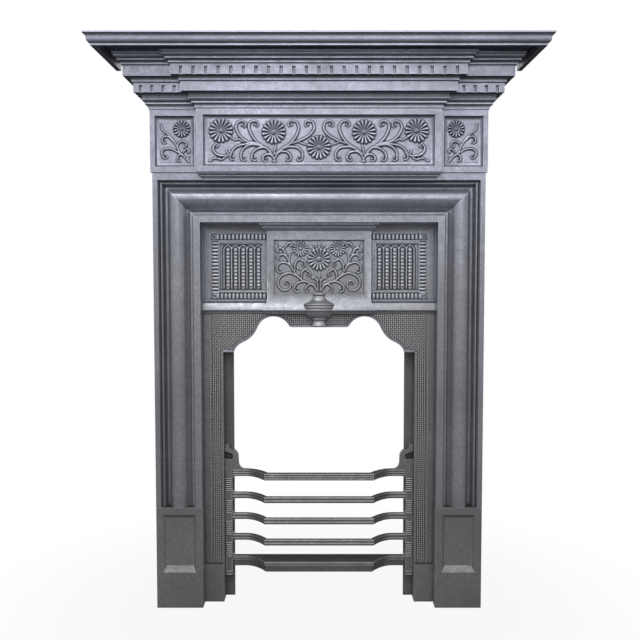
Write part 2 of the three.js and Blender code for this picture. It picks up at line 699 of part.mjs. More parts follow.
/** Slots of a dentil band in a face that looks forward. */
function frontSlots(count, pitch, centre, face, fascia, topMargin) {
  const slots = [];
  for (let i = 0; i < count; i += 1) {
    const x = centre + (i - (count - 1) / 2) * pitch;
    slots.push(block(x - DENTIL_SLOT / 2, x + DENTIL_SLOT / 2, face - 1, face + DENTIL_SLOT_DEPTH,
      corniceBottom + fascia.bottom - 1, corniceBottom + fascia.top - topMargin));
  }
  return slots;
}

function cornice() {
  const topMargin = 4.5;
  const middleSlots = frontSlots(DENTIL_COUNT, DENTIL_PITCH, 0,
    middleFace - UPPER_FASCIA.offset, UPPER_FASCIA, topMargin);
  const endCentre = (friezeX + breakX) / 2 + LOWER_FASCIA.offset;
  const endFaceY = endFace - LOWER_FASCIA.offset;
  const endSlots = [-1, 1].flatMap((side) => frontSlots(END_DENTIL_COUNT, END_DENTIL_PITCH,
    side * endCentre, endFaceY, LOWER_FASCIA, topMargin));

  // the same slots in the two side faces
  const sideX = friezeX + LOWER_FASCIA.offset;
  const sideSlots = [];
  for (let i = 0; i < SIDE_DENTIL_COUNT; i += 1) {
    const y = endFaceY + END_DENTIL_PITCH * (i + 0.6);
    for (const side of [-1, 1]) {
      sideSlots.push(block(side * (sideX - DENTIL_SLOT_DEPTH), side * (sideX + 1),
        y - DENTIL_SLOT / 2, y + DENTIL_SLOT / 2,
        corniceBottom + LOWER_FASCIA.bottom - 1, corniceBottom + LOWER_FASCIA.top - topMargin));
    }
  }
  return cut(moulding(corniceOutline(), frontPlan, corniceBottom),
    ...middleSlots, ...endSlots, ...sideSlots);
}

// ---------------------------------------------------------------- shelf

const flangeMiddle = (CORNICE_FLANGE.inner + CORNICE_FLANGE.outer) / 2;
const shelfBolts = [-1, 1].flatMap((side) => [
  [side * SHELF_BOLT_X, middleFace - flangeMiddle],
  [side * (friezeX + flangeMiddle), SHELF_BOLT_DEPTH],
]);

function shelf() {
  const rim = outlineOf((s) => {
    s.moveTo(-1.5, SHELF_THICKNESS);
    s.quadraticCurveTo(0, SHELF_THICKNESS, 0, SHELF_THICKNESS - 1.5);
    s.lineTo(0, SHELF_THICKNESS - 3);
    s.lineTo(-1, SHELF_THICKNESS - 3);
    s.quadraticCurveTo(-6.3, SHELF_THICKNESS - 3.5, -6.5, 13.5);
    s.quadraticCurveTo(-6.8, 5, -12, 4.5);
    s.lineTo(-13, 4.5);
    s.lineTo(-13, 0);
    s.lineTo(-SHELF_RIM, 0);
    s.lineTo(-SHELF_RIM, SHELF_THICKNESS);
  });
  const path = plan(
    [-shelfX, BODY_DEPTH], [-shelfX, -shelfFront], [shelfX, -shelfFront], [shelfX, BODY_DEPTH]);
  const inner = shelfX - SHELF_RIM + 1;
  const plate = block(-inner, inner, -shelfFront + SHELF_RIM - 1, BODY_DEPTH, plateUnderside, shelfTop);
  const flangeTop = corniceBottom + CORNICE_FLANGE.top;
  const bosses = shelfBolts.map(([x, y]) => rod(
    point(x, y, flangeTop + GAP), point(x, y, plateUnderside + 1), BOSS_RADIUS, 12));
  return joined(moulding(rim, path, corniceTop), plate, ...bosses);
}

// --------------------------------------------------------------- insert

/** The edge of the fire opening, from the left foot over to the right one. */
function insertEdge() {
  const path = new THREE.Path();
  path.moveTo(-legInner, -1);
  path.lineTo(-legInner, bracketZ);
  path.lineTo(-BRACKET_REACH, bracketZ);
  path.quadraticCurveTo(-BRACKET_REACH + 4, cuspZ - 8, -CUSP_X, cuspZ);
  path.quadraticCurveTo(-CUSP_X + 22, cuspZ + 9,
    -LOBE_X - LOBE_RADIUS * Math.cos(LOBE_START), lobeZ + LOBE_RADIUS * Math.sin(LOBE_START));
  path.absarc(-LOBE_X, lobeZ, LOBE_RADIUS, Math.PI - LOBE_START, LOBE_END, true);
  path.quadraticCurveTo(-DROP_X - 4, dropZ, -DROP_X, dropZ);
  const left = path.getPoints(CURVE_STEPS);
  const right = left.map((p) => new THREE.Vector2(-p.x, p.y)).reverse();
  return [...left, ...right];
}

function insertFrame() {
  let body = cut(
    block(-insertOuter, insertOuter, INSERT_FACE, insertBack, 0, ledgeLip - GAP),
    slab(new THREE.Shape(insertEdge()), 0, FAR));
  const edge = openingX - LEG_CHANNEL;
  for (const side of [-1, 1]) {
    const inner = side * legInner;
    body = joined(body,
      // leg plinth
      block(inner, side * (openingX - PLINTH_PROUD - GAP), INSERT_FACE - LEG_PLINTH_PROUD,
        INSERT_FACE + 1, 0, LEG_PLINTH_HEIGHT),
      // fillet along the inner edge, and the raised edge of the smooth channel
      block(inner, side * (legInner + LEG_FILLET), INSERT_FACE - LEG_FILLET_PROUD, INSERT_FACE + 1,
        LEG_PLINTH_HEIGHT - 1, bracketZ),
      block(side * (edge - LEG_EDGE), side * edge, INSERT_FACE - LEG_FILLET_PROUD, INSERT_FACE + 1,
        LEG_PLINTH_HEIGHT - 1, ledgeBottom - WALL),
      // return flange in front of the cheek
      block(inner, side * (legInner + WALL), INSERT_FACE + 1, CHEEK_FACE - GAP, 0, bracketZ),
      ...cheekBoltLevels.map((z) => boss(side * cheekBoltX, z, INSERT_FACE + 1, CHEEK_FACE - GAP)),
    );
  }
  return body;
}

/** The right-hand cheek plate, with a slot for each hook of the fire bars. */
function cheek() {
  const back = CHEEK_FACE + WALL;
  const slots = HOOK_LEVELS.map((z) => block(
    hookX - HOOK_WIDTH / 2 - HOOK_CLEARANCE, hookX + HOOK_WIDTH / 2 + HOOK_CLEARANCE,
    CHEEK_FACE - 1, back + 1, z - GAP, z + HOOK_HEIGHT + LIFT + HOOK_CLEARANCE));
  return cut(joined(
    block(cheekInner, cheekOuter, CHEEK_FACE, back, 0, cheekTop),
    block(cheekOuter - WALL, cheekOuter, back - 1, back + CHEEK_RETURN, 0, cheekTop),
  ), ...slots);
}

// ----------------------------------------------------------------- hood

/** Ledge under the hood: offset ahead of the face, height. */
function ledgeOutline(back) {
  const nose = ledgeTop - 19;
  return outlineOf((s) => {
    s.moveTo(0, ledgeTop);
    s.lineTo(LEDGE_PROJECTION - 1.5, nose + 2);
    s.quadraticCurveTo(LEDGE_PROJECTION + 0.5, nose, LEDGE_PROJECTION - 0.5, nose - 3);
    s.quadraticCurveTo(LEDGE_PROJECTION - 4, nose - 4, LEDGE_PROJECTION - 5, ledgeBottom);
    s.lineTo(back, ledgeBottom);
    s.lineTo(back, ledgeTop);
  });
}

/** Small cornice on top of the canopy front: offset, height. */
function canopyCrown() {
  const p = HOOD_CORNICE_PROJECTION;
  return outlineOf((s) => {
    s.moveTo(-2, 5);
    s.lineTo(1.5, 5);
    s.lineTo(3, 7.5);
    s.lineTo(4.5, 7.5);
    s.quadraticCurveTo(5, 11, 9, 11.5);
    s.lineTo(9, 13.5);
    s.lineTo(11, 13.5);
    s.quadraticCurveTo(11.5, 16.5, p - 1, 17);
    s.lineTo(p, 18);
    s.lineTo(p, HOOD_CORNICE_HEIGHT);
    s.lineTo(-2, HOOD_CORNICE_HEIGHT);
  });
}

/** The mouldings round the canopy front, grown by a clearance. */
function canopyMouldings(grow) {
  const x = hoodX + grow;
  const face = HOOD_CENTRE_FACE - grow;
  const back = INSERT_FACE - GAP + grow;
  const round = plan([-x, back], [-x, face], [x, face], [x, back]);
  return joined(moulding(ledgeOutline(-WALL), round, 0), moulding(canopyCrown(), round, hoodPanelTop));
}

/** Everything below the hood's lip and behind its front, kept clear of it. */
const belowLip = () => block(-FAR, FAR, INSERT_FACE - GAP, FAR, 0, ledgeLip);

/** The right-hand side panel of the canopy, with its part of the ledge. */
function canopySide() {
  const inner = hoodX + GAP;
  const outer = openingX - GAP;
  const stripZ = ledgeTop + 2;
  const strip = HOOD_SIDE_FACE + HOOD_FIELD_DEPTH;
  const body = joined(
    block(inner, insertOuter, INSERT_FACE, insertBack, ledgeLip, hoodTop + INSERT_FLANGE),
    block(inner, outer, HOOD_SIDE_FACE, hoodSideBack, ledgeTop - 1, hoodTop),
    block(inner, outer, INSERT_FACE, hoodSideBack, ledgeLip, ledgeTop),
    moulding(ledgeOutline(-1), plan([inner, INSERT_FACE], [outer, INSERT_FACE]), 0),
    block(inner, inner + WALL, INSERT_FACE, HOOD_JOINT_DEPTH, ledgeLip, hoodTop),
  );
  const frontOfLedge = block(0, outer, 0, INSERT_FACE, ledgeTop, stripZ + 1);
  const hollow = sunkPanel(inner - HOOD_COVE, outer, stripZ, hoodTop, HOOD_SIDE_FACE,
    HOOD_FIELD_DEPTH, [0, HOOD_COVE, 0, HOOD_COVE_TOP]);
  const beads = block(inner + BEAD_MARGIN, outer - HOOD_COVE - FLUTE_STRIP - BEAD_MARGIN / 2,
    strip - 1, strip + HOOD_BEAD_RECESS,
    stripZ + FLUTE_STRIP + BEAD_MARGIN / 2, hoodTop - HOOD_COVE_TOP - FLUTE_STRIP - BEAD_MARGIN / 2);
  return cut(body, frontOfLedge, hollow, beads, belowLip(), canopyMouldings(GAP));
}

/** The canopy front, with its sunk panel, cornice and ledge. */
function canopyFront() {
  const face = HOOD_CENTRE_FACE;
  const plate = face + WALL + HOOD_RECESS_DEPTH;
  const sides = [-1, 1].map((side) => block(
    side * (hoodX - WALL), side * hoodX, face, HOOD_JOINT_DEPTH, ledgeLip, hoodTop));
  const recess = sunkPanel(-hoodX + HOOD_FRAME, hoodX - HOOD_FRAME, ledgeTop + HOOD_FRAME,
    hoodPanelTop - HOOD_FRAME, face, HOOD_RECESS_DEPTH, [3, 3, 3, 3]);
  return cut(joined(
    block(-hoodX, hoodX, face, plate, ledgeTop - 1, hoodTop), ...sides, canopyMouldings(0),
    block(1 - hoodX, hoodX - 1, face, INSERT_FACE - GAP, ledgeBottom, ledgeBottom + WALL),
  ), recess, belowLip());
}

/** The urn below the canopy front, turned, then fitted round the ledge. */
function canopyUrn() {
  const profile = outlineOf((s) => {
    s.moveTo(0, -29);
    s.lineTo(URN_FOOT, -29);
    s.lineTo(URN_FOOT, -26);
    s.quadraticCurveTo(13, -22, 12.5, -15);
    s.lineTo(15.5, -13);
    s.lineTo(15.5, -10.5);
    s.quadraticCurveTo(28, -7, URN_RADIUS - 5, 5);
    s.lineTo(URN_RADIUS, 6.5);
    s.lineTo(URN_RADIUS, 21);
    s.lineTo(25, 27);
    s.quadraticCurveTo(12.5, 31, URN_NECK, 36);
    s.lineTo(URN_NECK, 40);
    s.lineTo(14, 43);
    s.lineTo(15, 46);
    s.lineTo(0, 46);
  }, BAR_STEPS);
  const geometry = new THREE.LatheGeometry([...profile, profile[0].clone()], 20);
  geometry.rotateX(Math.PI / 2);
  geometry.scale(1, URN_HALF_DEPTH / URN_RADIUS, 1);
  geometry.translate(0, HOOD_CENTRE_FACE - GAP, ledgeBottom);
  const panel = block(-hoodX, hoodX, HOOD_CENTRE_FACE - GAP, FAR, ledgeBottom - GAP, hoodTop);
  return cut(solid(geometry), panel, canopyMouldings(GAP));
}

// ------------------------------------------------------------ fire bars

/** Front line of a bar in plan, from the left stile to the right one. */
function barPath() {
  const start = STILE_FACE + 1;
  const bend = new THREE.QuadraticBezierCurve(
    new THREE.Vector2(-BAR_BEND_X, start),
    new THREE.Vector2(-BAR_BEND_X + 21, start - 2),
    new THREE.Vector2(-BAR_KINK_X, BAR_FRONT),
  );
  const left = [new THREE.Vector2(-stileInner - 3, start), ...bend.getPoints(BAR_STEPS + 1)];
  const right = left.map((p) => new THREE.Vector2(-p.x, p.y)).reverse();
  return [...left, ...right];
}

/** Section of a reeded bar: rounded reeds down the front, flat back. */
function reededBar(height, thickness, reeds) {
  const pitch = height / reeds;
  return outlineOf((s) => {
    s.moveTo(-thickness, height);
    s.lineTo(-1.5, height);
    for (let i = 0; i < reeds; i += 1) {
      const top = height - i * pitch;
      s.quadraticCurveTo(1.5, top - pitch / 2, -1.5, top - pitch);
    }
    s.lineTo(-thickness, 0);
  }, BAR_STEPS);
}

/** The bottom bar: moulded front edge and a ledge with a straight back. */
function bottomBar() {
  const h = BOTTOM_BAR_HEIGHT;
  const edge = outlineOf((s) => {
    s.moveTo(-12, h);
    s.lineTo(-2, h);
    s.quadraticCurveTo(1.2, h - 1.8, -1.5, h - 4);
    s.quadraticCurveTo(1.2, h - 6, -2.5, h - 8.5);
    s.quadraticCurveTo(-0.5, h - 10.5, -3.5, h - 12.5);
    s.lineTo(-6, 0);
    s.lineTo(-12, 0);
  }, BAR_STEPS);
  const path = barPath();
  const front = path.map((p) => new THREE.Vector2(p.x, p.y + BAR_THICKNESS / 2));
  const back = plan([stileInner, BOTTOM_BAR_BACK - 1], [-stileInner, BOTTOM_BAR_BACK - 1]);
  const ledge = new THREE.ExtrudeGeometry(new THREE.Shape([...front, ...back]), {
    depth: LEDGE_PLATE, bevelEnabled: false,
  });
  ledge.translate(0, 0, BOTTOM_BAR_BOTTOM + h - LEDGE_PLATE);
  return joined(moulding(edge, path, BOTTOM_BAR_BOTTOM), solid(ledge));
}

/** S-shaped finial on top of the right-hand stile, in X and Z. */
function finial() {
  const x = stileInner;
  const z = STILE_TOP;
  const shape = new THREE.Shape();
  shape.moveTo(x + 2, z - 16);
  shape.quadraticCurveTo(x - 14, z - 6, x - 14, z + 7);
  shape.quadraticCurveTo(x - 13, z + 20, x + 1, z + 23);
  shape.lineTo(x + 6, z + 24);
  shape.quadraticCurveTo(x + 8, z + 30, x + 9, z + 35);
  shape.lineTo(x + STILE_WIDTH - 0.5, z + 34);
  shape.quadraticCurveTo(x + STILE_WIDTH, z + 24, x + STILE_WIDTH - 1, z + 18);
  shape.lineTo(x + 6, z + 15);
  shape.quadraticCurveTo(x - 3, z + 13, x - 3, z + 6);
  shape.quadraticCurveTo(x - 2, z, x + 5, z - 1);
  return slab(shape, STILE_FACE, STILE_FACE + STILE_THICKNESS - 1);
}

/** Curved web from the end of the top bar up to the finial, on the right. */
function stileWeb() {
  const x = stileInner;
  const z = TOP_BAR_BOTTOM + TOP_BAR_HEIGHT;
  const shape = new THREE.Shape();
  shape.moveTo(x + 1, z - 2);
  shape.lineTo(x - WEB_REACH, z - 2);
  shape.lineTo(x - WEB_REACH, z);
  shape.quadraticCurveTo(x - 18, z + 3, x - 15, z + 14);
  shape.lineTo(x - 14, STILE_TOP + 6);
  shape.lineTo(x + 1, STILE_TOP - 5);
  return slab(shape, STILE_FACE + 2, STILE_FACE + 2 + WEB_THICKNESS);
}

/** Fillet between the right-hand stile and a bar, above it (1) or below it (-1). */
function barFillet(z, way) {
  const x = stileInner;
  const shape = new THREE.Shape();
  shape.moveTo(x + 1, z - way);
  shape.lineTo(x - BAR_FILLET, z - way);
  shape.lineTo(x - BAR_FILLET, z);
  shape.quadraticCurveTo(x - 1, z + way, x, z + way * BAR_FILLET);
  shape.lineTo(x + 1, z + way * BAR_FILLET);
  return slab(shape, STILE_FACE + 2, STILE_FACE + 2 + WEB_THICKNESS);
}

/** Stile, finial and hooks on the right-hand side. */
function barStile() {
  const back = STILE_FACE + STILE_THICKNESS;
  const behindCheek = CHEEK_FACE + WALL + HOOK_CLEARANCE;
  const hooks = HOOK_LEVELS.flatMap((z) => [
    block(hookX - HOOK_WIDTH / 2, hookX + HOOK_WIDTH / 2, back - 1, behindCheek + HOOK_TONGUE,
      z, z + HOOK_HEIGHT),
    block(hookX - HOOK_WIDTH / 2, hookX + HOOK_WIDTH / 2, behindCheek, behindCheek + HOOK_TONGUE,
      z - HOOK_DROP, z + 1),
  ]);
  const fillets = BAR_BOTTOMS.flatMap((z) => [barFillet(z, -1), barFillet(z + BAR_HEIGHT, 1)]);
  return joined(
    block(stileInner, stileOuter, STILE_FACE, back, STILE_BOTTOM, STILE_TOP),
    finial(), stileWeb(), barFillet(TOP_BAR_BOTTOM, -1),
    barFillet(BOTTOM_BAR_BOTTOM + BOTTOM_BAR_HEIGHT, 1), ...fillets, ...hooks);
}

function fireBars() {
  const path = barPath();
  const right = barStile();
  return joined(right, mirrored(right),
    moulding(reededBar(TOP_BAR_HEIGHT, TOP_BAR_THICKNESS, 3), path, TOP_BAR_BOTTOM),
    ...BAR_BOTTOMS.map((z) => moulding(reededBar(BAR_HEIGHT, BAR_THICKNESS, 2), path, z)),
    bottomBar());
}

// ---------------------------------------------------- throat and damper

/** The smoke throat: a box open below and in front, with flanges and ears. */
function smokeThroat() {
  const t = THROAT_WALL;
  const box = cut(
    block(-THROAT_HALF_WIDTH, THROAT_HALF_WIDTH, throatFace, THROAT_BACK, throatBottom, throatTop),
    block(-THROAT_HALF_WIDTH + t, THROAT_HALF_WIDTH - t, throatFace - 1, THROAT_BACK - t,
      throatBottom - 1, throatTop - t),
    block(-THROAT_HOLE_HALF_WIDTH, THROAT_HOLE_HALF_WIDTH, THROAT_HOLE_FRONT, THROAT_HOLE_BACK,
      throatTop - t - 1, throatTop + 1),
    // room for the joint of the canopy
    block(-hoodX - WALL - 1, hoodX + WALL + 1, throatFace - 1, HOOD_JOINT_DEPTH + 1,
      throatTop - t - 1, throatTop + 1),
  );
  const flanges = [-1, 1].map((side) => block(
    side * (THROAT_HALF_WIDTH - 1), side * (THROAT_HALF_WIDTH + THROAT_FLANGE),
    throatFace, throatFace + t, throatBottom, throatTop));
  const ears = [-1, 1].map((side) => block(
    side * earInner, side * (earInner + DAMPER_EAR), hingeY - DAMPER_KNUCKLE_RADIUS,
    hingeY + DAMPER_KNUCKLE_RADIUS, throatTop - 1, hingeZ + DAMPER_KNUCKLE_RADIUS));
  const bores = [-1, 1].map((side) => hingeRod(side, earInner - 1, earInner + DAMPER_EAR + 1,
    DAMPER_PIN_RADIUS + PIN_CLEARANCE));
  return cut(joined(box, ...flanges, ...ears), ...bores);
}

/** A round bar on the damper's axis, between two distances from the centre. */
function hingeRod(side, x0, x1, radius) {
  return rod(point(side * x0, hingeY, hingeZ), point(side * x1, hingeY, hingeZ), radius, 16);
}

/** The flap over the throat, closed, with its two hinge knuckles. */
function damperFlap() {
  const bottom = throatTop + GAP;
  const top = bottom + DAMPER_THICKNESS;
  const flap = block(-THROAT_HOLE_HALF_WIDTH - DAMPER_OVERLAP, THROAT_HOLE_HALF_WIDTH + DAMPER_OVERLAP,
    THROAT_HOLE_FRONT - DAMPER_OVERLAP, THROAT_HOLE_BACK + DAMPER_OVERLAP, bottom, top);
  const rib = block(-4, 4, THROAT_HOLE_FRONT, THROAT_HOLE_BACK, top - 1, top + WALL);
  const inner = DAMPER_KNUCKLE_X - DAMPER_KNUCKLE_LENGTH / 2;
  const outer = DAMPER_KNUCKLE_X + DAMPER_KNUCKLE_LENGTH / 2;
  const knuckles = [-1, 1].flatMap((side) => [
    hingeRod(side, inner, outer, DAMPER_KNUCKLE_RADIUS - GAP),
    block(side * inner, side * outer, hingeY - DAMPER_KNUCKLE_RADIUS - 2, hingeY - 3, bottom, top),
  ]);
  const bores = [-1, 1].map((side) => hingeRod(side, inner - 1, outer + 1,
    DAMPER_PIN_RADIUS + PIN_CLEARANCE));
  const notches = [-1, 1].map((side) => block(
    side * (earInner - GAP), side * (earInner + DAMPER_EAR + 1),
    hingeY - DAMPER_KNUCKLE_RADIUS * 1.5, hingeY + DAMPER_KNUCKLE_RADIUS, bottom - 1, top + 1));
  return cut(joined(flap, rib, ...knuckles), ...bores, ...notches);
}

/** One hinge pin, through a knuckle and the ear beside it. */
function damperPin(side) {
  const x0 = DAMPER_KNUCKLE_X - DAMPER_KNUCKLE_LENGTH / 2 - 2;
  return hingeRod(side, x0, x0 + DAMPER_PIN_LENGTH, DAMPER_PIN_RADIUS);
}

// --------------------------------------------------------------- straps

/** A flat iron strap behind two bosses, and the holes of its two bolts. */
function strap(name, side, from, to) {
  const a = new THREE.Vector2(from[0] * side, from[1]);
  const b = new THREE.Vector2(to[0] * side, to[1]);
  const geometry = new THREE.BoxGeometry(a.distanceTo(b) + STRAP_WIDTH, STRAP_THICKNESS, STRAP_WIDTH);
  geometry.rotateY(-Math.atan2(b.y - a.y, b.x - a.x));
  geometry.translate((a.x + b.x) / 2, STRAP_FACE + STRAP_THICKNESS / 2, (a.y + b.y) / 2);
  const seat = STRAP_FACE + STRAP_THICKNESS;
  const holes = [a, b].map((p, i) => bolt(`${name}_bolt_${i + 1}`, point(p.x, seat, p.y), FORWARD,
    STRAP_THICKNESS + STRAP_BOLT_REACH));
  return { body: cut(solid(geometry), ...holes), holes };
}

// ------------------------------------------------------------- assembly

const COLOURS = {
  polished: { color: 0x8f939b, roughness: 0.42, metalness: 0.85 },
  dark: { color: 0x3c3d40, roughness: 0.6, metalness: 0.7 },
  black: { color: 0x2c2c2e, roughness: 0.75, metalness: 0.55 },
  bolt: { color: 0x4a4744, roughness: 0.65, metalness: 0.7 },
};

const fireplace = new THREE.Group();
fireplace.position.y = -originY;

function place(name, body, finish) {
  const mesh = new THREE.Mesh(geometryOf(body), new THREE.MeshStandardMaterial(COLOURS[finish]));
  mesh.name = name;
  fireplace.add(mesh);
}

function placePair(name, body, finish) {
  place(`${name}_right`, body, finish);
  place(`${name}_left`, mirrored(body), finish);
}

// Straps and bolts, with the holes that they need. Mirrored castings take only
// the right-hand hole of each pair.
const straps = [-1, 1].map((side) => {
  const end = side < 0 ? 'left' : 'right';
  return {
    end,
    corner: strap(`corner_strap_${end}`, side, jambCorner, lintelCorner),
    foot: strap(`plinth_strap_${end}`, side, jambFoot, plinthHead),
  };
});
const strapHoles = straps.flatMap(({ corner, foot }) => [...corner.holes, ...foot.holes]);
const bottomFlange = FRIEZE_FLANGE / 2;
const shelfHoles = shelfBolts.map(([x, y], i) => bolt(`shelf_bolt_${i + 1}`,
  point(x, y, corniceBottom + CORNICE_FLANGE.bottom), UP, SHELF_BOLT_LENGTH));
const corniceHoles = [
  ...boltPair('cornice_bolt_front', MIDDLE_BOLT_X, middleFace + bottomFlange + WALL,
    corniceBottom + WALL, DOWN, FLANGE_BOLT_LENGTH),
  ...boltPair('cornice_bolt_side', friezeX - bottomFlange, SHELF_BOLT_DEPTH,
    corniceBottom + WALL, DOWN, FLANGE_BOLT_LENGTH),
];
const friezeHoles = [
  ...boltPair('frieze_bolt_inner', MIDDLE_BOLT_X, LINTEL_BOLT_DEPTH, lintelTop - WALL, UP,
    FLANGE_BOLT_LENGTH),
  ...boltPair('frieze_bolt_outer', END_BOLT_X, LINTEL_BOLT_DEPTH, lintelTop - WALL, UP,
    FLANGE_BOLT_LENGTH),
];
const insertHoles = insertBoltLevels.flatMap((z, i) => boltPair(
  `insert_bolt_${i + 1}`, insertBoltX, insertBack, z, FORWARD, WALL + BOSS_DEPTH));
const hoodHoles = boltPair('canopy_bolt', insertBoltX, insertBack, hoodBoltLevel, FORWARD,
  WALL + BOSS_DEPTH);
const jointHoles = boltPair('canopy_joint_bolt', hoodX - WALL, HOOD_JOINT_DEPTH - BOSS_DEPTH,
  jointBoltLevel, point(1, 0, 0), WALL * 2 + STRAP_THICKNESS);
const urnHole = bolt('urn_bolt', point(0, HOOD_CENTRE_FACE + WALL, ledgeTop - 12), FORWARD,
  WALL + URN_BOLT_DEPTH);
const cheekHoles = cheekBoltLevels.flatMap((z, i) => boltPair(
  `cheek_bolt_${i + 1}`, cheekBoltX, CHEEK_FACE + WALL, z, FORWARD, WALL * 2 + BOSS_DEPTH));
const throatHoles = boltPair('throat_bolt', THROAT_HALF_WIDTH + THROAT_FLANGE / 2,
  throatFace + THROAT_WALL, throatBoltLevel, FORWARD, THROAT_WALL + WALL);

place('mantel_shelf', cut(shelf(), ...shelfHoles), 'polished');
place('cornice', cut(cornice(), ...shelfHoles, ...corniceHoles), 'polished');
place('frieze', cut(frieze(), ...corniceHoles, ...friezeHoles), 'polished');
place('lintel', cut(lintel(), ...friezeHoles, ...strapHoles), 'polished');
placePair('jamb', cut(jamb(), ...strapHoles, ...insertHoles, ...hoodHoles), 'polished');
placePair('plinth', cut(plinth(), ...strapHoles), 'dark');
place('insert_frame', cut(insertFrame(), ...insertHoles, ...cheekHoles), 'dark');
placePair('canopy_side', cut(canopySide(), ...hoodHoles, ...jointHoles, ...throatHoles), 'polished');
place('canopy_front', cut(canopyFront(), ...jointHoles, urnHole), 'polished');
place('canopy_urn', cut(canopyUrn(), urnHole), 'polished');
placePair('cheek', cut(cheek(), ...cheekHoles), 'black');
place('fire_bars', fireBars(), 'dark');
place('smoke_throat', cut(smokeThroat(), ...throatHoles), 'black');
place('damper_flap', damperFlap(), 'black');
place('damper_pin_left', damperPin(-1), 'bolt');
place('damper_pin_right', damperPin(1), 'bolt');
for (const { end, corner, foot } of straps) {
  place(`corner_strap_${end}`, corner.body, 'bolt');
  place(`plinth_strap_${end}`, foot.body, 'bolt');
}
for (const [name, body] of bolts) {
  place(name, body, 'bolt');
}

export default fireplace;
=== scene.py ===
"""Looks of the cast iron fireplace: castings, relief work, finishes and stage, laid over its frame."""

import math

import bpy
import numpy as np
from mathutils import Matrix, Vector


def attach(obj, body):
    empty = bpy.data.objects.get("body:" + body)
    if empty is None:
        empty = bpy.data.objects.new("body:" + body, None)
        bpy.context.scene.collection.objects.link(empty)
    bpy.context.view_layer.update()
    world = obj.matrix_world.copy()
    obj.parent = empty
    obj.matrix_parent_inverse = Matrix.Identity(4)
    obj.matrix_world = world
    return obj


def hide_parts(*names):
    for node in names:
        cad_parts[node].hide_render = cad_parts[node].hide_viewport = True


bl_info = {
    "name": "Cast Iron Fireplace",
    "version": (1, 0, 0),
    "blender": (4, 5, 0),
    "location": "View3D > Sidebar > Fireplace",
    "description": "Dresses the cast iron fireplace with its relief work and finishes",
    "category": "Object",
}

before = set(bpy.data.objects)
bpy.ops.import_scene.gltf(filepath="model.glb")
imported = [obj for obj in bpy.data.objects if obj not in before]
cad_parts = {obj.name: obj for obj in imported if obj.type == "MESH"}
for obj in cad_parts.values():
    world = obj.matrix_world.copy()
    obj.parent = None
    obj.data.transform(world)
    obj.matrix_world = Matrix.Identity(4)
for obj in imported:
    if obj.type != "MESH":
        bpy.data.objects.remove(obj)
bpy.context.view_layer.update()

MM = 0.001
ORIGIN_Y = 23.5  # the plinth face stands this far in front of the origin plane, in mm

# Faces of the castings that carry relief, in mm behind the plinth face, or in front of it where negative
FRIEZE_MIDDLE_FLOOR = -12.5
FRIEZE_END_FLOOR = 4.5
HOOD_FRONT_FACE = 28
HOOD_FRONT_FLOOR = 33
HOOD_FIELD = 51
HOOD_BEAD_FLOOR = 55
APRON_FACE = 44
STILE_FACE = 60
SINK = 0.4  # how far the edge of a relief is let into the casting behind it, in mm
GROUND_LIFT = 0.15  # how far the ground of a relief stands in front of the casting's own face, in mm

# Places of the carved panels, in mm from the centre line and above the floor
FRIEZE_LOW, FRIEZE_MIDDLE, FRIEZE_HIGH = 975.9, 1021.4, 1066.9
FRIEZE_END_X = 309.1
HOOD_PANEL_Z = 753.3
URN_DEPTH = 16 / 35  # how far the half urn stands out for each mm of its half width

# Finish, by height above the floor in m: painted shade on undersides is strongest under the cornice, and painted
# shade lower down darkens the tone and turns it grey
UNDERSIDE_SHADE_FROM, UNDERSIDE_SHADE_FULL = 0.93, 0.98
PAINTED_SHADE_FULL_BELOW, PAINTED_SHADE_ENDS = 0.72, 1.0
FINE_ROUND = 0.25  # edge rounding of the finely reeded fire bars, as a share of the other castings'
LOOK = "_look"  # ending of a finish's material, which the frame's own plain ones don't have

# Stage: lamps as (place, aim, size) in m, and how the floor fades to white away from the fireplace
KEY_LAMP = ((0.1, -2.3, 1.6), (0, 0, 0.8), (1.6, 1.0))
TOP_LAMP = ((-0.3, -1.5, 2.35), (0, 0, 0.9), (1.0, 0.35))
FILL_LAMP = ((-1.9, -2.2, 1.4), (0, 0, 0.6), (1.2, 1.6))
FLOOR_REACH = 12.0
FLOOR_TONE = 0.34
FLOOR_FADE = (("From Min", 0.35), ("From Max", 0.9), ("To Min", 0.92), ("To Max", 1.0))


# ------------------------------------------------------------------ sizes and colours


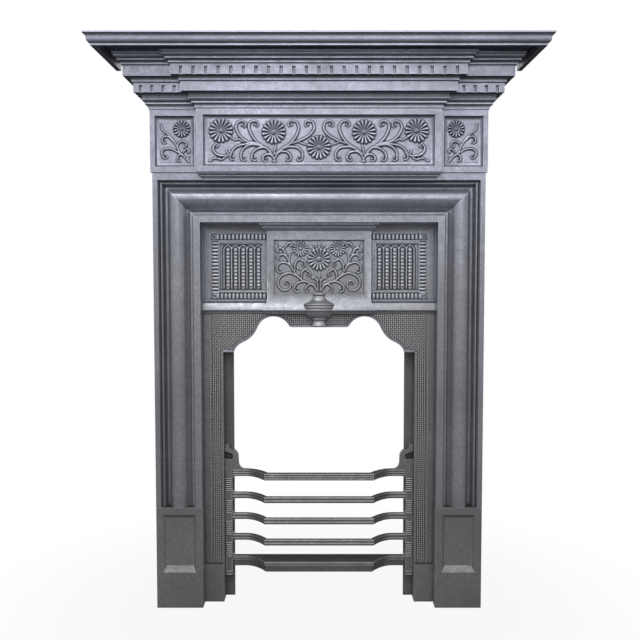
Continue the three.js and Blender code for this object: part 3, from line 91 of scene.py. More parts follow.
class FinishSettings(bpy.types.PropertyGroup):
    polished_tone: bpy.props.FloatVectorProperty(
        name="Polished Iron", description="Colour of the graphite-polished castings",
        default=(0.39, 0.41, 0.5), subtype="COLOR", min=0.0, max=1.0)
    dark_tone: bpy.props.FloatVectorProperty(
        name="Dark Iron", description="Colour of the plinths and the duller castings",
        default=(0.31, 0.304, 0.326), subtype="COLOR", min=0.0, max=1.0)
    sooty_tone: bpy.props.FloatVectorProperty(
        name="Sooty Iron", description="Colour of the castings that the fire has blackened",
        default=(0.2, 0.2, 0.208), subtype="COLOR", min=0.0, max=1.0)
    fastener_tone: bpy.props.FloatVectorProperty(
        name="Fasteners", description="Colour of the bolts, straps and pins",
        default=(0.13, 0.122, 0.115), subtype="COLOR", min=0.0, max=1.0)
    grain_height: bpy.props.FloatProperty(
        name="Sand Grain", description="Height of the sand-cast grain",
        default=0.0002, unit="LENGTH", min=0.0, max=0.001)
    # The darkening that spreads out of a hollow is painted shade
    painted_shade_reach: bpy.props.FloatProperty(
        name="Hollow Reach", description="How far dirt spreads out of a hollow",
        default=0.006, unit="LENGTH", min=0.001, max=0.1)
    # The rubbed bright line on edges is partly wear and partly a painted highlight
    wear_and_highlight_width: bpy.props.FloatProperty(
        name="Worn Width", description="How far the rubbed bright line reaches from an edge",
        default=0.0019, unit="LENGTH", min=0.0002, max=0.01)
    edge_round: bpy.props.FloatProperty(
        name="Edge Rounding", description="Width of the rounding on a casting's edges",
        default=0.001, unit="LENGTH", min=0.0, max=0.004)
    smooth_angle: bpy.props.FloatProperty(
        name="Smooth Below", description="Edges flatter than this are shaded smooth",
        default=math.radians(34), subtype="ANGLE", min=0.0, max=math.pi)


class ReliefSettings(bpy.types.PropertyGroup):
    scroll_height: bpy.props.FloatProperty(
        name="Scroll Height", description="How far the frieze scrolls stand proud",
        default=0.0034, unit="LENGTH", min=0.0005, max=0.0078)
    daisy_radius: bpy.props.FloatProperty(
        name="Daisy Radius", description="Outer radius of the daisies on the frieze",
        default=0.0255, unit="LENGTH", min=0.01, max=0.03)
    daisy_petals: bpy.props.IntProperty(
        name="Daisy Petals", description="Petals round each daisy", default=16, min=8, max=24)
    weave_pitch: bpy.props.FloatProperty(
        name="Weave Pitch", description="Distance between two strands of the basket weave",
        default=0.0044, unit="LENGTH", min=0.002, max=0.01)
    weave_height: bpy.props.FloatProperty(
        name="Weave Height", description="Height of the basket weave",
        default=0.0013, unit="LENGTH", min=0.0002, max=0.0018)
    flute_pitch: bpy.props.FloatProperty(
        name="Flute Pitch", description="Distance between two flutes or beads on the hood",
        default=0.0078, unit="LENGTH", min=0.004, max=0.02)
    urn_reeds: bpy.props.IntProperty(
        name="Urn Reeds", description="Reeds round the whole bowl of the urn", default=28, min=8, max=60)


class StageSettings(bpy.types.PropertyGroup):
    camera_height: bpy.props.FloatProperty(
        name="Camera Height", description="Height of the lens above the floor",
        default=0.7505, unit="LENGTH")
    camera_distance: bpy.props.FloatProperty(
        name="Camera Distance", description="Lens in front of the middle of the fireplace",
        default=1.86285, unit="LENGTH")
    camera_offset: bpy.props.FloatProperty(
        name="Camera Offset", description="Lens to the right of the centre line",
        default=0.00216, unit="LENGTH")
    camera_pitch: bpy.props.FloatProperty(
        name="Camera Pitch", description="How far the camera looks down",
        default=math.radians(3.4794), subtype="ANGLE")
    lens: bpy.props.FloatProperty(
        name="Lens", description="Focal length on a 36 mm wide sensor", default=47.8125, unit="CAMERA")
    key_power: bpy.props.FloatProperty(
        name="Key Light", description="Soft light above and in front", default=11.0, min=0.0, subtype="POWER")
    top_power: bpy.props.FloatProperty(
        name="Top Light", description="Narrow lamp high above the viewer", default=13.0, min=0.0, subtype="POWER")
    fill_power: bpy.props.FloatProperty(
        name="Fill Light", description="Soft light at the left", default=3.0, min=0.0, subtype="POWER")
    room_light: bpy.props.FloatProperty(
        name="Room Light", description="Even light from all round", default=0.36, min=0.0, max=1.0)


# ------------------------------------------------------------------ shaping helpers


def spaced(points, per=7):
    """A smooth line through the points, as an array of (x, z)."""
    p = np.array(points, float)
    if len(p) < 3:
        return p
    p = np.vstack([2 * p[0] - p[1], p, 2 * p[-1] - p[-2]])
    t = np.linspace(0, 1, per, endpoint=False)[:, None]
    parts = []
    for a, b, c, d in zip(p, p[1:], p[2:], p[3:]):
        parts.append(0.5 * (2 * b + (c - a) * t + (2 * a - 5 * b + 4 * c - d) * t**2
                            + (3 * b - a - 3 * c + d) * t**3))
    return np.vstack(parts + [p[-2][None]])


def mesh_object(name, verts, faces, finish, body="surround", proud=None):
    """A piece from vertices in mm, measured as the castings are, riding on its body.

    proud says for each vertex how far it stands out of its neighbourhood, for the finish to paint a highlight on
    its tops and shade in its hollows.
    """
    verts = np.array(verts, float)
    verts[:, 1] -= ORIGIN_Y
    mesh = bpy.data.meshes.new(name)
    mesh.from_pydata((verts * MM).tolist(), [], faces)
    if proud is not None:
        mesh.attributes.new("proud", "FLOAT", "POINT").data.foreach_set("value", proud)
    mesh.validate()
    mesh.shade_smooth()
    piece = bpy.data.objects.new(name, mesh)
    bpy.context.scene.collection.objects.link(piece)
    mesh.materials.append(bpy.data.materials[finish + LOOK])
    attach(piece, body)
    return piece


def grid_faces(rows, columns, keep=None, flip=False):
    """Quads of a grid of vertices, rows by columns, where keep allows them."""
    i, j = np.meshgrid(np.arange(rows - 1), np.arange(columns - 1), indexing="ij")
    a = i * columns + j
    quads = np.stack([a, a + 1, a + columns + 1, a + columns], axis=-1)
    quads = quads[keep] if keep is not None else quads.reshape(-1, 4)
    return (quads[:, ::-1] if flip else quads).tolist()


class Relief:
    """A cast relief: heights over a flat ground, on a fine grid that faces the viewer."""

    def __init__(self, x0, x1, z0, z1, step, step_z=None):
        self.x = np.linspace(x0, x1, max(2, round((x1 - x0) / step) + 1))
        self.z = np.linspace(z0, z1, max(2, round((z1 - z0) / (step_z or step)) + 1))
        self.X, self.Z = np.meshgrid(self.x, self.z)
        self.H = np.zeros_like(self.X)

    def _window(self, x0, x1, z0, z1):
        i = slice(*np.searchsorted(self.z, (z0, z1)))
        j = slice(*np.searchsorted(self.x, (x0, x1)))
        return i, j

    def _raise(self, where, height):
        self.H[where] = np.maximum(self.H[where], height)

    def stroke(self, points, radii, height, smooth=True):
        """A rounded ridge along a line; its half width runs through radii from end to end."""
        p = spaced(points) if smooth else np.array(points, float)
        run = np.r_[0, np.cumsum(np.hypot(*np.diff(p, axis=0).T))]
        r = np.interp(run / run[-1], np.linspace(0, 1, len(radii)), radii)
        top = max(radii)
        for a, b, ra, rb in zip(p, p[1:], r, r[1:]):
            reach = max(ra, rb)
            lo, hi = np.minimum(a, b) - reach, np.maximum(a, b) + reach
            w = self._window(lo[0], hi[0], lo[1], hi[1])
            x, z = self.X[w], self.Z[w]
            d = b - a
            u = np.clip(((x - a[0]) * d[0] + (z - a[1]) * d[1]) / max(d @ d, 1e-9), 0, 1)
            local = ra + u * (rb - ra)
            far = np.hypot(x - a[0] - u * d[0], z - a[1] - u * d[1]) / local
            self._raise(w, height * (local / top) ** 0.6 * np.sqrt(np.clip(1 - far**3, 0, 1)))

    def dot(self, x, z, rx, rz, height):
        """A rounded boss."""
        w = self._window(x - rx, x + rx, z - rz, z + rz)
        far = ((self.X[w] - x) / rx) ** 2 + ((self.Z[w] - z) / rz) ** 2
        self._raise(w, height * np.sqrt(np.clip(1 - far, 0, 1)))

    def scroll(self, points, eye, height, root=1.6, belly=2.7, bud=4.6):
        """A scroll: a stem that swells towards its curl, winds round its eye and ends in a bud."""
        (ax, az), (bx, bz) = points[-2:]
        x, z = bx - eye[0], bz - eye[1]
        way = math.copysign(1, x * (bz - az) - z * (bx - ax))
        start, far = math.atan2(z, x), math.hypot(x, z)
        curl = [(eye[0] + far * k * math.cos(start + way * t), eye[1] + far * k * math.sin(start + way * t))
                for t, k in ((0.9, 0.96), (1.8, 0.84), (2.6, 0.68))]
        self.stroke(list(points) + curl, (root, belly, belly, belly * 0.9, root * 0.9), height)
        self.dot(eye[0], eye[1], bud * 0.62, bud * 0.62, height * 0.95)

    def daisy(self, x, z, radius, petals, height):
        """A daisy with club-shaped petals round a domed centre."""
        for k in range(petals):
            turn = 2 * math.pi * (k + 0.5) / petals
            c, s = math.cos(turn), math.sin(turn)
            line = [(x + c * q * radius, z + s * q * radius) for q in (0.3, 0.6, 0.88)]
            self.stroke(line, (0.035 * radius, 0.095 * radius, 0.14 * radius), height, smooth=False)
        self.dot(x, z, 0.24 * radius, 0.24 * radius, height * 0.8)
        self.dot(x, z, 0.1 * radius, 0.1 * radius, height * 1.3)

    def blurred(self, times):
        """The heights, blurred a little as many times as asked."""
        heights = self.H
        for _ in range(times):
            h = np.pad(heights, 1, mode="edge")
            heights = (4 * h[1:-1, 1:-1] + 2 * (h[:-2, 1:-1] + h[2:, 1:-1] + h[1:-1, :-2] + h[1:-1, 2:])
                       + h[:-2, :-2] + h[:-2, 2:] + h[2:, :-2] + h[2:, 2:]) / 16
        return heights

    def soften(self):
        """Rounds the relief as a casting does."""
        self.H = self.blurred(1)

    def mirrored(self):
        """The same relief for the other side of the fireplace."""
        other = Relief(-self.x[-1], -self.x[0], self.z[0], self.z[-1], 1)
        other.x = -self.x[::-1]
        other.z = self.z
        other.X, other.Z = np.meshgrid(other.x, other.z)
        other.H = self.H[:, ::-1].copy()
        return other

    def piece(self, name, face, finish, body="surround", keep=None, bare=False):
        """The relief as a piece on a face of a casting, its edge let into that face.

        keep limits it to a part of its grid, and bare leaves out the flat ground.
        """
        y = face - GROUND_LIFT - self.H
        solid = keep if keep is not None else np.ones(self.H.shape, bool)
        if bare:
            grown = np.pad(self.H > 0.05, 1)
            near = sum(grown[i:i + self.H.shape[0], j:j + self.H.shape[1]]
                       for i in range(3) for j in range(3)) > 0
            solid = solid & near
        padded = np.pad(solid, 1)
        inner = np.ones(self.H.shape, bool)
        for i in range(3):
            for j in range(3):
                inner &= padded[i:i + self.H.shape[0], j:j + self.H.shape[1]]
        y = np.where(inner, y, face + SINK)
        quads = solid[:-1, :-1] & solid[1:, :-1] & solid[:-1, 1:] & solid[1:, 1:]
        verts = np.stack([self.X, y, self.Z], axis=-1).reshape(-1, 3)
        faces = grid_faces(len(self.z), len(self.x), quads)
        # How far each point stands out, which the finish turns into a painted highlight on tops and painted shade
        # between the raised lines
        proud = (self.H - self.blurred(10)) / max(0.6 * self.H.max(), 1e-6)
        used = np.unique(np.array(faces))
        index = np.zeros(len(verts), int)
        index[used] = np.arange(len(used))
        faces = index[np.array(faces)].tolist()
        return mesh_object(name, verts[used], faces, finish, body, proud=proud.ravel()[used])


def band(name, path, profile, face, finish, body="surround"):
    """A moulded band along a path of (x, z); profile holds (distance to the path's left, height)."""
    p = np.array(path, float)
    along = np.gradient(p, axis=0)
    along /= np.maximum(np.linalg.norm(along, axis=1), 1e-9)[:, None]
    left = np.stack([-along[:, 1], along[:, 0]], axis=1)
    verts = []
    for point, side in zip(p, left):
        for offset, height in profile:
            x, z = point + side * offset
            verts.append((x, face - height, z))
    return mesh_object(name, verts, grid_faces(len(p), len(profile), flip=True), finish, body)


# ------------------------------------------------------------------ finishes


def node(tree, kind, at, **values):
    """A shader node at a place, with its settings."""
    made = tree.nodes.new(kind)
    made.location = at
    for key, value in values.items():
        if key in made.inputs:
            made.inputs[key].default_value = value
        else:
            setattr(made, key, value)
    return made


def iron(name, tone, roughness, metallic, shade_and_ash, wear_and_highlight, grain, ash=0.0):
    """Cast iron: uneven polish, sand grain, painted shade in the hollows and on undersides, ash on top, bright
    rubbed edges that are partly a painted highlight, and a painted highlight on relief tops.

    shade_and_ash and wear_and_highlight are how much darker than the tone painted shade and ash are, and how much
    brighter a rubbed edge with its painted highlight is.
    """
    s = bpy.context.scene.fireplace_finish
    material = bpy.data.materials.new(name + LOOK)
    material.use_nodes = True
    tree = material.node_tree
    tree.nodes.clear()
    link = tree.links.new
    out = node(tree, "ShaderNodeOutputMaterial", (1200, 0))
    shader = node(tree, "ShaderNodeBsdfPrincipled", (900, 0))
    link(shader.outputs[0], out.inputs[0])
    place = node(tree, "ShaderNodeTexCoord", (-1300, 0)).outputs["Object"]

    def noise(scale, detail, at):
        made = node(tree, "ShaderNodeTexNoise", at, Scale=scale, Detail=detail)
        link(place, made.inputs["Vector"])
        return made.outputs[0]

    def ranged(source, low, high, to_low, to_high, at):
        made = node(tree, "ShaderNodeMapRange", at)
        made.inputs["From Min"].default_value = low
        made.inputs["From Max"].default_value = high
        made.inputs["To Min"].default_value = to_low
        made.inputs["To Max"].default_value = to_high
        link(source, made.inputs["Value"])
        return made.outputs[0]

    def mixed(factor, a, b, at, blend="MIX"):
        made = node(tree, "ShaderNodeMix", at, data_type="RGBA", blend_type=blend)
        for socket, value in ((made.inputs[0], factor), (made.inputs[6], a), (made.inputs[7], b)):
            if hasattr(value, "links"):
                link(value, socket)
            else:
                socket.default_value = value
        return made.outputs[2]

    def shade(k):
        return (*(min(1.0, c * k) for c in tone), 1.0)

    # the polish, uneven in patches of three sizes, and the sand grain
    clouds = noise(7, 4, (-1050, 300))
    rubs = noise(60, 5, (-1050, 80))
    sand = noise(1150, 3, (-1050, -260))
    coarse = noise(310, 2, (-1050, -480))
    base = mixed(ranged(clouds, 0.35, 0.65, 0, 1, (-800, 300)), shade(0.82), shade(1.16), (-550, 300))
    base = mixed(ranged(rubs, 0.4, 0.7, 0, 0.55, (-800, 120)), base, shade(0.68), (-350, 260))
    base = mixed(ranged(coarse, 0.36, 0.6, 0.7, 0, (-800, -160)), base, shade(0.6), (-250, 240))
    base = mixed(ranged(sand, 0.35, 0.7, 0, 0.35 * grain, (-800, -60)), base, shade(0.5), (-150, 240))
    # painted shade in hollows and between the raised lines of a relief, and a painted highlight on their tops
    hollow = node(tree, "ShaderNodeAmbientOcclusion", (-800, 560), samples=8, only_local=False,
                  Distance=s.painted_shade_reach)
    clear_of_painted_shade = ranged(hollow.outputs["AO"], 0.35, 0.85, 0, 1, (-550, 560))
    shade_and_ash_colour = (*(c * shade_and_ash for c in tone), 1.0)
    base = mixed(clear_of_painted_shade, shade_and_ash_colour, base, (80, 300))
    proud = node(tree, "ShaderNodeAttribute", (-1050, 980), attribute_name="proud").outputs["Fac"]
    base = mixed(ranged(proud, -0.3, -0.05, 1, 0, (-800, 1000)), base, shade_and_ash_colour, (200, 300))
    base = mixed(ranged(proud, 0.06, 0.3, 0, 1, (-550, 1000)), base, shade(1.3), (250, 300))
    # painted shade low down that darkens the tone and greys its blue, painted shade on faces turned down, strongest
    # under the cornice, and ash on ledges, where the metal loses its gloss
    turned = node(tree, "ShaderNodeSeparateXYZ", (-1050, 1180))
    geometry = node(tree, "ShaderNodeNewGeometry", (-1300, 1180))
    link(geometry.outputs["Normal"], turned.inputs[0])
    level = node(tree, "ShaderNodeSeparateXYZ", (-1050, 1380))
    link(geometry.outputs["Position"], level.inputs[0])
    # Painted shade: the tone darkens and loses its blue tint lower down
    painted_low_shade = (*(0.97 * min(tone) / c for c in tone), 1.0)
    base = mixed(ranged(level.outputs["Z"], PAINTED_SHADE_FULL_BELOW, PAINTED_SHADE_ENDS, 0.6, 0, (-800, 1380)), base, painted_low_shade, (260, 300),
                 "MULTIPLY")
    # Painted shade on faces turned down, strongest under the cornice
    painted_underside_shade = node(tree, "ShaderNodeMath", (-550, 1280), operation="MULTIPLY")
    link(ranged(turned.outputs["Z"], -0.95, -0.25, 0.85, 0, (-800, 1180)), painted_underside_shade.inputs[0])
    link(ranged(level.outputs["Z"], UNDERSIDE_SHADE_FROM, UNDERSIDE_SHADE_FULL, 0.25, 1, (-800, 1580)), painted_underside_shade.inputs[1])
    underside_shade_and_ash = node(tree, "ShaderNodeMath", (-300, 1280), operation="MAXIMUM")
    link(painted_underside_shade.outputs[0], underside_shade_and_ash.inputs[0])
    link(ranged(turned.outputs["Z"], 0.7, 0.95, 0, ash, (-800, 1780)), underside_shade_and_ash.inputs[1])
    base = mixed(underside_shade_and_ash.outputs[0], base, shade_and_ash_colour, (280, 300))
    link(ranged(underside_shade_and_ash.outputs[0], 0, 1, metallic, 0, (300, 1280)), shader.inputs["Metallic"])
    link(ranged(underside_shade_and_ash.outputs[0], 0, 1, 0.5, 0.08, (500, 1280)), shader.inputs["Specular IOR Level"])
    # bright rubbed edges: partly wear, partly a painted highlight
    edge_wear_and_highlight = node(tree, "ShaderNodeAmbientOcclusion", (-800, 780), samples=8, only_local=True, inside=True,
                Distance=s.wear_and_highlight_width)
    edge = ranged(edge_wear_and_highlight.outputs["AO"], 0.45, 0.8, 1, 0, (-550, 780))
    base = mixed(edge, base, shade(wear_and_highlight), (320, 300))
    link(base, shader.inputs["Base Color"])
    rough = ranged(rubs, 0.3, 0.75, roughness - 0.06, roughness + 0.09, (-550, 0))
    duller = node(tree, "ShaderNodeMath", (-300, 0), operation="MULTIPLY_ADD")
    link(ranged(hollow.outputs["AO"], 0.3, 0.9, 1, 0, (-550, 420)), duller.inputs[0])
    duller.inputs[1].default_value = 0.25
    link(rough, duller.inputs[2])
    matt = node(tree, "ShaderNodeMath", (0, 0), operation="MULTIPLY_ADD")
    link(underside_shade_and_ash.outputs[0], matt.inputs[0])
    matt.inputs[1].default_value = 0.4
    link(duller.outputs[0], matt.inputs[2])
    link(matt.outputs[0], shader.inputs["Roughness"])
    height = node(tree, "ShaderNodeMath", (-800, -380), operation="MULTIPLY_ADD")
    link(coarse, height.inputs[0])
    height.inputs[1].default_value = 1.6
    link(sand, height.inputs[2])
    bump = node(tree, "ShaderNodeBump", (600, -260), Strength=0.55 * grain, Distance=s.grain_height)
    link(height.outputs[0], bump.inputs["Height"])
    link(bump.outputs[0], shader.inputs["Normal"])


def smoothing(angle):
    """Geometry nodes that weld a casting and shade its flatter edges smooth."""
    tree = bpy.data.node_groups.new("smoothed_casting", "GeometryNodeTree")
    tree.interface.new_socket("Geometry", in_out="INPUT", socket_type="NodeSocketGeometry")
    tree.interface.new_socket("Geometry", in_out="OUTPUT", socket_type="NodeSocketGeometry")
    start = tree.nodes.new("NodeGroupInput")
    weld = tree.nodes.new("GeometryNodeMergeByDistance")
    weld.inputs["Distance"].default_value = 1e-6
    clear = tree.nodes.new("GeometryNodeRemoveAttribute")
    clear.inputs["Name"].default_value = "custom_normal"
    faces = tree.nodes.new("GeometryNodeSetShadeSmooth")
    edges = tree.nodes.new("GeometryNodeSetShadeSmooth")
    edges.domain = "EDGE"
    turn = tree.nodes.new("GeometryNodeInputMeshEdgeAngle")
    flat = tree.nodes.new("FunctionNodeCompare")
    flat.operation = "LESS_THAN"
    flat.inputs["B"].default_value = angle
    end = tree.nodes.new("NodeGroupOutput")
    chain = (start, weld, clear, faces, edges, end)
    for i, made in enumerate(chain):
        made.location = (i * 220, 0)
    for a, b in zip(chain, chain[1:]):
        tree.links.new(a.outputs[0], b.inputs[0])
    tree.links.new(turn.outputs["Unsigned Angle"], flat.inputs["A"])
    tree.links.new(flat.outputs[0], edges.inputs["Shade Smooth"])
    return tree


def finish_of(name):
    """The record's slot that a casting belongs to."""
    if name.startswith(("plinth_strap", "corner_strap", "damper_pin")) or "bolt" in name:
        return "fastener_iron"
    if name.startswith(("cheek", "smoke_throat", "damper_flap")):
        return "sooty_iron"
    if name.startswith(("plinth", "insert_frame", "fire_bars")):
        return "dark_iron"
    return "polished_iron"


class FIREPLACE_OT_castings(bpy.types.Operator):
    """Gives every casting its finish, rounds its edges and smooths its mouldings"""

    bl_idname = "fireplace.castings"
    bl_label = "Finish the Castings"

    def execute(self, context):
        s = context.scene.fireplace_finish
        iron("polished_iron", s.polished_tone, 0.36, 0.55, 0.12, 1.6, 1.0)
        iron("dark_iron", s.dark_tone, 0.42, 0.5, 0.1, 1.9, 1.0, ash=0.9)
        iron("sooty_iron", s.sooty_tone, 0.66, 0.1, 0.25, 1.5, 1.5)
        iron("fastener_iron", s.fastener_tone, 0.55, 0.3, 0.3, 1.6, 1.5)
        moulded, flat_sided = smoothing(s.smooth_angle), smoothing(s.smooth_angle / 3)
        for name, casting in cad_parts.items():
            smooth = casting.modifiers.new("smoothed", "NODES")
            smooth.node_group = flat_sided if name.startswith("plinth") else moulded
            rounding = casting.modifiers.new("rounded", "BEVEL")
            rounding.width = s.edge_round * (FINE_ROUND if name == "fire_bars" else 1)
            rounding.segments = 2
            rounding.limit_method = "ANGLE"
            rounding.angle_limit = s.smooth_angle
            rounding.use_clamp_overlap = True
            rounding.harden_normals = True
            material = bpy.data.materials[finish_of(name) + LOOK]
            if not casting.material_slots:
                casting.data.materials.append(material)
            for slot in casting.material_slots:
                slot.link = "OBJECT"
                slot.material = material
        return {"FINISHED"}


# ------------------------------------------------------------------ frieze


class FIREPLACE_OT_frieze_middle(bpy.types.Operator):
    """Scrolls and daisies in the middle panel of the frieze"""

    bl_idname = "fireplace.frieze_middle"
    bl_label = "Frieze, Middle Panel"

    # Scrolls of the left half: (line, eye), in mm from the middle of the panel
    SCROLLS = (
        (((-120, -12), (-136, -5), (-150, -3), (-161, 3), (-171, 14), (-176, 27), (-173, 37), (-165, 41)),
         (-163, 32)),
        (((-118, -13), (-127, -7), (-138, 4), (-146, 18), (-149, 29), (-146, 38), (-139, 41)), (-136, 33)),
        (((-94, -28), (-80, -18), (-62, -7), (-53, 3), (-46, 15), (-43, 27), (-47, 38), (-55, 41)), (-58, 33)),
        (((-66, -9), (-43, -1), (-25, 8), (-14, 18), (-10, 27), (-13, 38), (-20, 41)), (-23, 33)),
        (((-120, -9), (-134, -6), (-148, -7), (-164, -9), (-175, -13), (-183, -20), (-187, -29)), (-182, -35)),
        (((-112, -14), (-136, -9), (-148, -10), (-159, -16), (-165, -25), (-166, -33)), (-159, -36)),
        (((-101, -25), (-111, -16), (-122, -15), (-132, -18), (-140, -25), (-143, -33)), (-136, -36)),
        (((-95, -41), (-98, -34), (-105, -29), (-114, -30), (-119, -35)), (-112, -38)),
        (((-95, -42), (-90, -30), (-83, -24), (-74, -23), (-65, -26), (-60, -33)), (-67, -36)),
        (((-93, -29), (-83, -21), (-72, -15), (-58, -13), (-44, -16), (-36, -25), (-35, -33)), (-43, -35)),
        (((-194, -32), (-206, -32), (-215, -30), (-222, -25), (-225, -17), (-223, -11)), (-217, -13)),
    )
    STEMS = (
        ((-95, -45), (-96, -36), (-102, -27), (-112, -18), (-122, -10)),
        ((-235, -44), (-227, -39), (-217, -38), (-208, -40), (-199, -35), (-190, -29), (-182, -25)),
        ((-194, 11), (-186, 7), (-178, 1), (-170, 3), (-164, -1), (-157, -3), (-148, -5)),
        ((-97, -30), (-92, -10), (-93, -4)),
        ((-192, -30), (-195, -25), (-198, -20)),
        ((-187, -28), (-190, -23), (-191, -20)),
        ((-45, -3), (-30, -8), (-24, -12)),
    )
    BEADS = ((-231, -43), (-221, -37), (-212, -38), (-203, -38), (-195, -32), (-186, 5), (-174, 3), (-161, -1))
    DAISIES = ((-208, 21), (-96, 18), (0, -14), (96, 18), (208, 21))

    def execute(self, context):
        s = context.scene.fireplace_relief
        height = s.scroll_height / MM
        panel = Relief(-237.4, 237.4, FRIEZE_LOW - FRIEZE_MIDDLE, FRIEZE_HIGH - FRIEZE_MIDDLE, 0.8)
        for side in (1, -1):
            for line, eye in self.SCROLLS:
                panel.scroll([(side * x, z) for x, z in line], (side * eye[0], eye[1]), height)
            for line in self.STEMS:
                panel.stroke([(side * x, z) for x, z in line], (1.5, 2.1, 1.3), height * 0.8)
            for x, z in self.BEADS:
                panel.dot(side * x, z, 2.6, 2.6, height * 0.9)
            panel.dot(side * 95, -44, 6, 3.5, height)
        for x, z in self.DAISIES:
            panel.daisy(x, z, s.daisy_radius / MM, s.daisy_petals, height * 1.25)
        panel.soften()
        panel.Z = panel.Z + FRIEZE_MIDDLE
        panel.piece("frieze_scrollwork_middle", FRIEZE_MIDDLE_FLOOR, "polished_iron")
        return {"FINISHED"}


class FIREPLACE_OT_frieze_ends(bpy.types.Operator):
    """Scrolls and daisies in the end panels of the frieze"""

    bl_idname = "fireplace.frieze_ends"
    bl_label = "Frieze, End Panels"

    SCROLLS = (
        (((1, -4), (-2, 0), (-6, 4), (-11, 9), (-17, 11), (-24, 10), (-27, 4)), (-21, 2)),
        (((11, -25), (4, -21), (-3, -17), (-10, -15), (-17, -15), (-24, -17), (-28, -23), (-27, -30)), (-20, -29)),
        (((24, -36), (17, -29), (12, -27), (8, -29), (5, -34)), (10, -37)),
        (((6, -9), (8, -4), (13, 0), (18, 1), (23, -1), (25, -5)), (20, -7)),
        (((18, -23), (22, -18), (26, -15), (30, -18)), (28, -21)),
    )
    STEMS = (
        ((32, -45), (27, -40), (20, -32), (13, -26), (8, -19), (5, -11), (0, -2), (-4, 5), (-9, 11), (-16, 17),
         (-23, 20)),
        ((-23, 20), (-26, 25), (-28, 30), (-29, 37)),
        ((30, -41), (28, -37), (28, -33), (31, -31)),
    )
    BEADS = ((-29, 37), (-28, 31), (-26, 25), (-21, 20), (-14, 15))

    def execute(self, context):
        s = context.scene.fireplace_relief
        height = s.scroll_height / MM
        panel = Relief(-342.9 + FRIEZE_END_X, -275.4 + FRIEZE_END_X,
                       FRIEZE_LOW - FRIEZE_MIDDLE, FRIEZE_HIGH - FRIEZE_MIDDLE, 0.8)
        for line, eye in self.SCROLLS:
            panel.scroll(line, eye, height, 1.4, 2.2, 3.6)
        for line in self.STEMS:
            panel.stroke(line, (1.5, 2, 1.3), height * 0.8)
        for x, z in self.BEADS:
            panel.dot(x, z, 2.5, 2.5, height * 0.9)
        panel.daisy(15, 27, 18, s.daisy_petals - 2, height * 1.3)
        panel.soften()
        panel.x = panel.x - FRIEZE_END_X
        panel.z = panel.z + FRIEZE_MIDDLE
        panel.X, panel.Z = np.meshgrid(panel.x, panel.z)
        panel.piece("frieze_scrollwork_left", FRIEZE_END_FLOOR, "polished_iron")
        panel.mirrored().piece("frieze_scrollwork_right", FRIEZE_END_FLOOR, "polished_iron")
        return {"FINISHED"}


# ------------------------------------------------------------------ hood


class FIREPLACE_OT_hood_front(bpy.types.Operator):
    """Flowers and scrolls that rise from the urn, in the middle panel of the hood"""

    bl_idname = "fireplace.hood_front"
    bl_label = "Hood, Middle Panel"

    SCROLLS = (
        (((-7, -50), (-13, -41), (-23, -34), (-36, -30), (-45, -22), (-55, -16), (-65, -13), (-76, -16),
          (-85, -22), (-90, -32), (-89, -42), (-83, -49), (-74, -51), (-66, -48), (-62, -40), (-65, -33)),
         (-71, -37)),
        (((-55, -10), (-61, 1), (-68, 7), (-76, 10), (-84, 9), (-90, 4), (-92, -3)), (-85, -6)),
        (((-66, 12), (-71, 22), (-77, 27), (-83, 27), (-88, 24)), (-88, 19)),
        (((-72, 25), (-76, 34), (-80, 40), (-86, 42), (-90, 39)), (-89, 35)),
        (((-77, 40), (-72, 47), (-68, 52), (-63, 53)), (-64, 48)),
        (((-53, -8), (-53, 4), (-49, 13), (-43, 17), (-37, 14)), (-37, 6)),
        (((-39, -26), (-38, -14), (-34, -7), (-29, -5), (-25, -9)), (-26, -16)),
        (((-20, -36), (-31, -32), (-42, -33), (-50, -38), (-54, -44)), (-47, -48)),
        (((-5, -52), (-9, -42), (-15, -38), (-21, -38), (-27, -43)), (-24, -49)),
        (((-3, -36), (-5, -29), (-9, -25)), (-14, -25)),
    )
    STEMS = (
        ((-20, -35), (-36, -28), (-45, -21), (-55, -10), (-63, 3), (-68, 15), (-74, 27), (-79, 36), (-86, 46),
         (-92, 54)),
        ((-60, 0), (-65, 12), (-65, 22), (-61, 31), (-54, 36)),
        ((-3, -53), (-3, -38), (-2, -26), (0, -12)),
        ((-4, 40), (-8, 45), (-13, 50)),
        ((0, 40), (2, 46), (1, 53)),
        ((-5, 37), (-12, 39), (-20, 43)),
        ((-48, 0), (-46, -4), (-42, -6)),
    )

    def execute(self, context):
        s = context.scene.fireplace_relief
        panel = Relief(-96.4, 96.4, -56.7, 57, 0.7)
        for side in (1, -1):
            for line, eye in self.SCROLLS:
                panel.scroll([(side * x, z) for x, z in line], (side * eye[0], eye[1]), 3.3, 1.5, 2.3, 4)
            for line in self.STEMS:
                panel.stroke([(side * x, z) for x, z in line], (1.3, 1.7, 1.2), 2.6)
            panel.daisy(side * 41, 40, 17.2, s.daisy_petals - 1, 3)
        panel.daisy(0, 17, 25, s.daisy_petals, 3.6)
        panel.soften()
        panel.z = panel.z + HOOD_PANEL_Z
        panel.X, panel.Z = np.meshgrid(panel.x, panel.z)
        panel.piece("hood_scrollwork", HOOD_FRONT_FLOOR, "polished_iron")
        return {"FINISHED"}


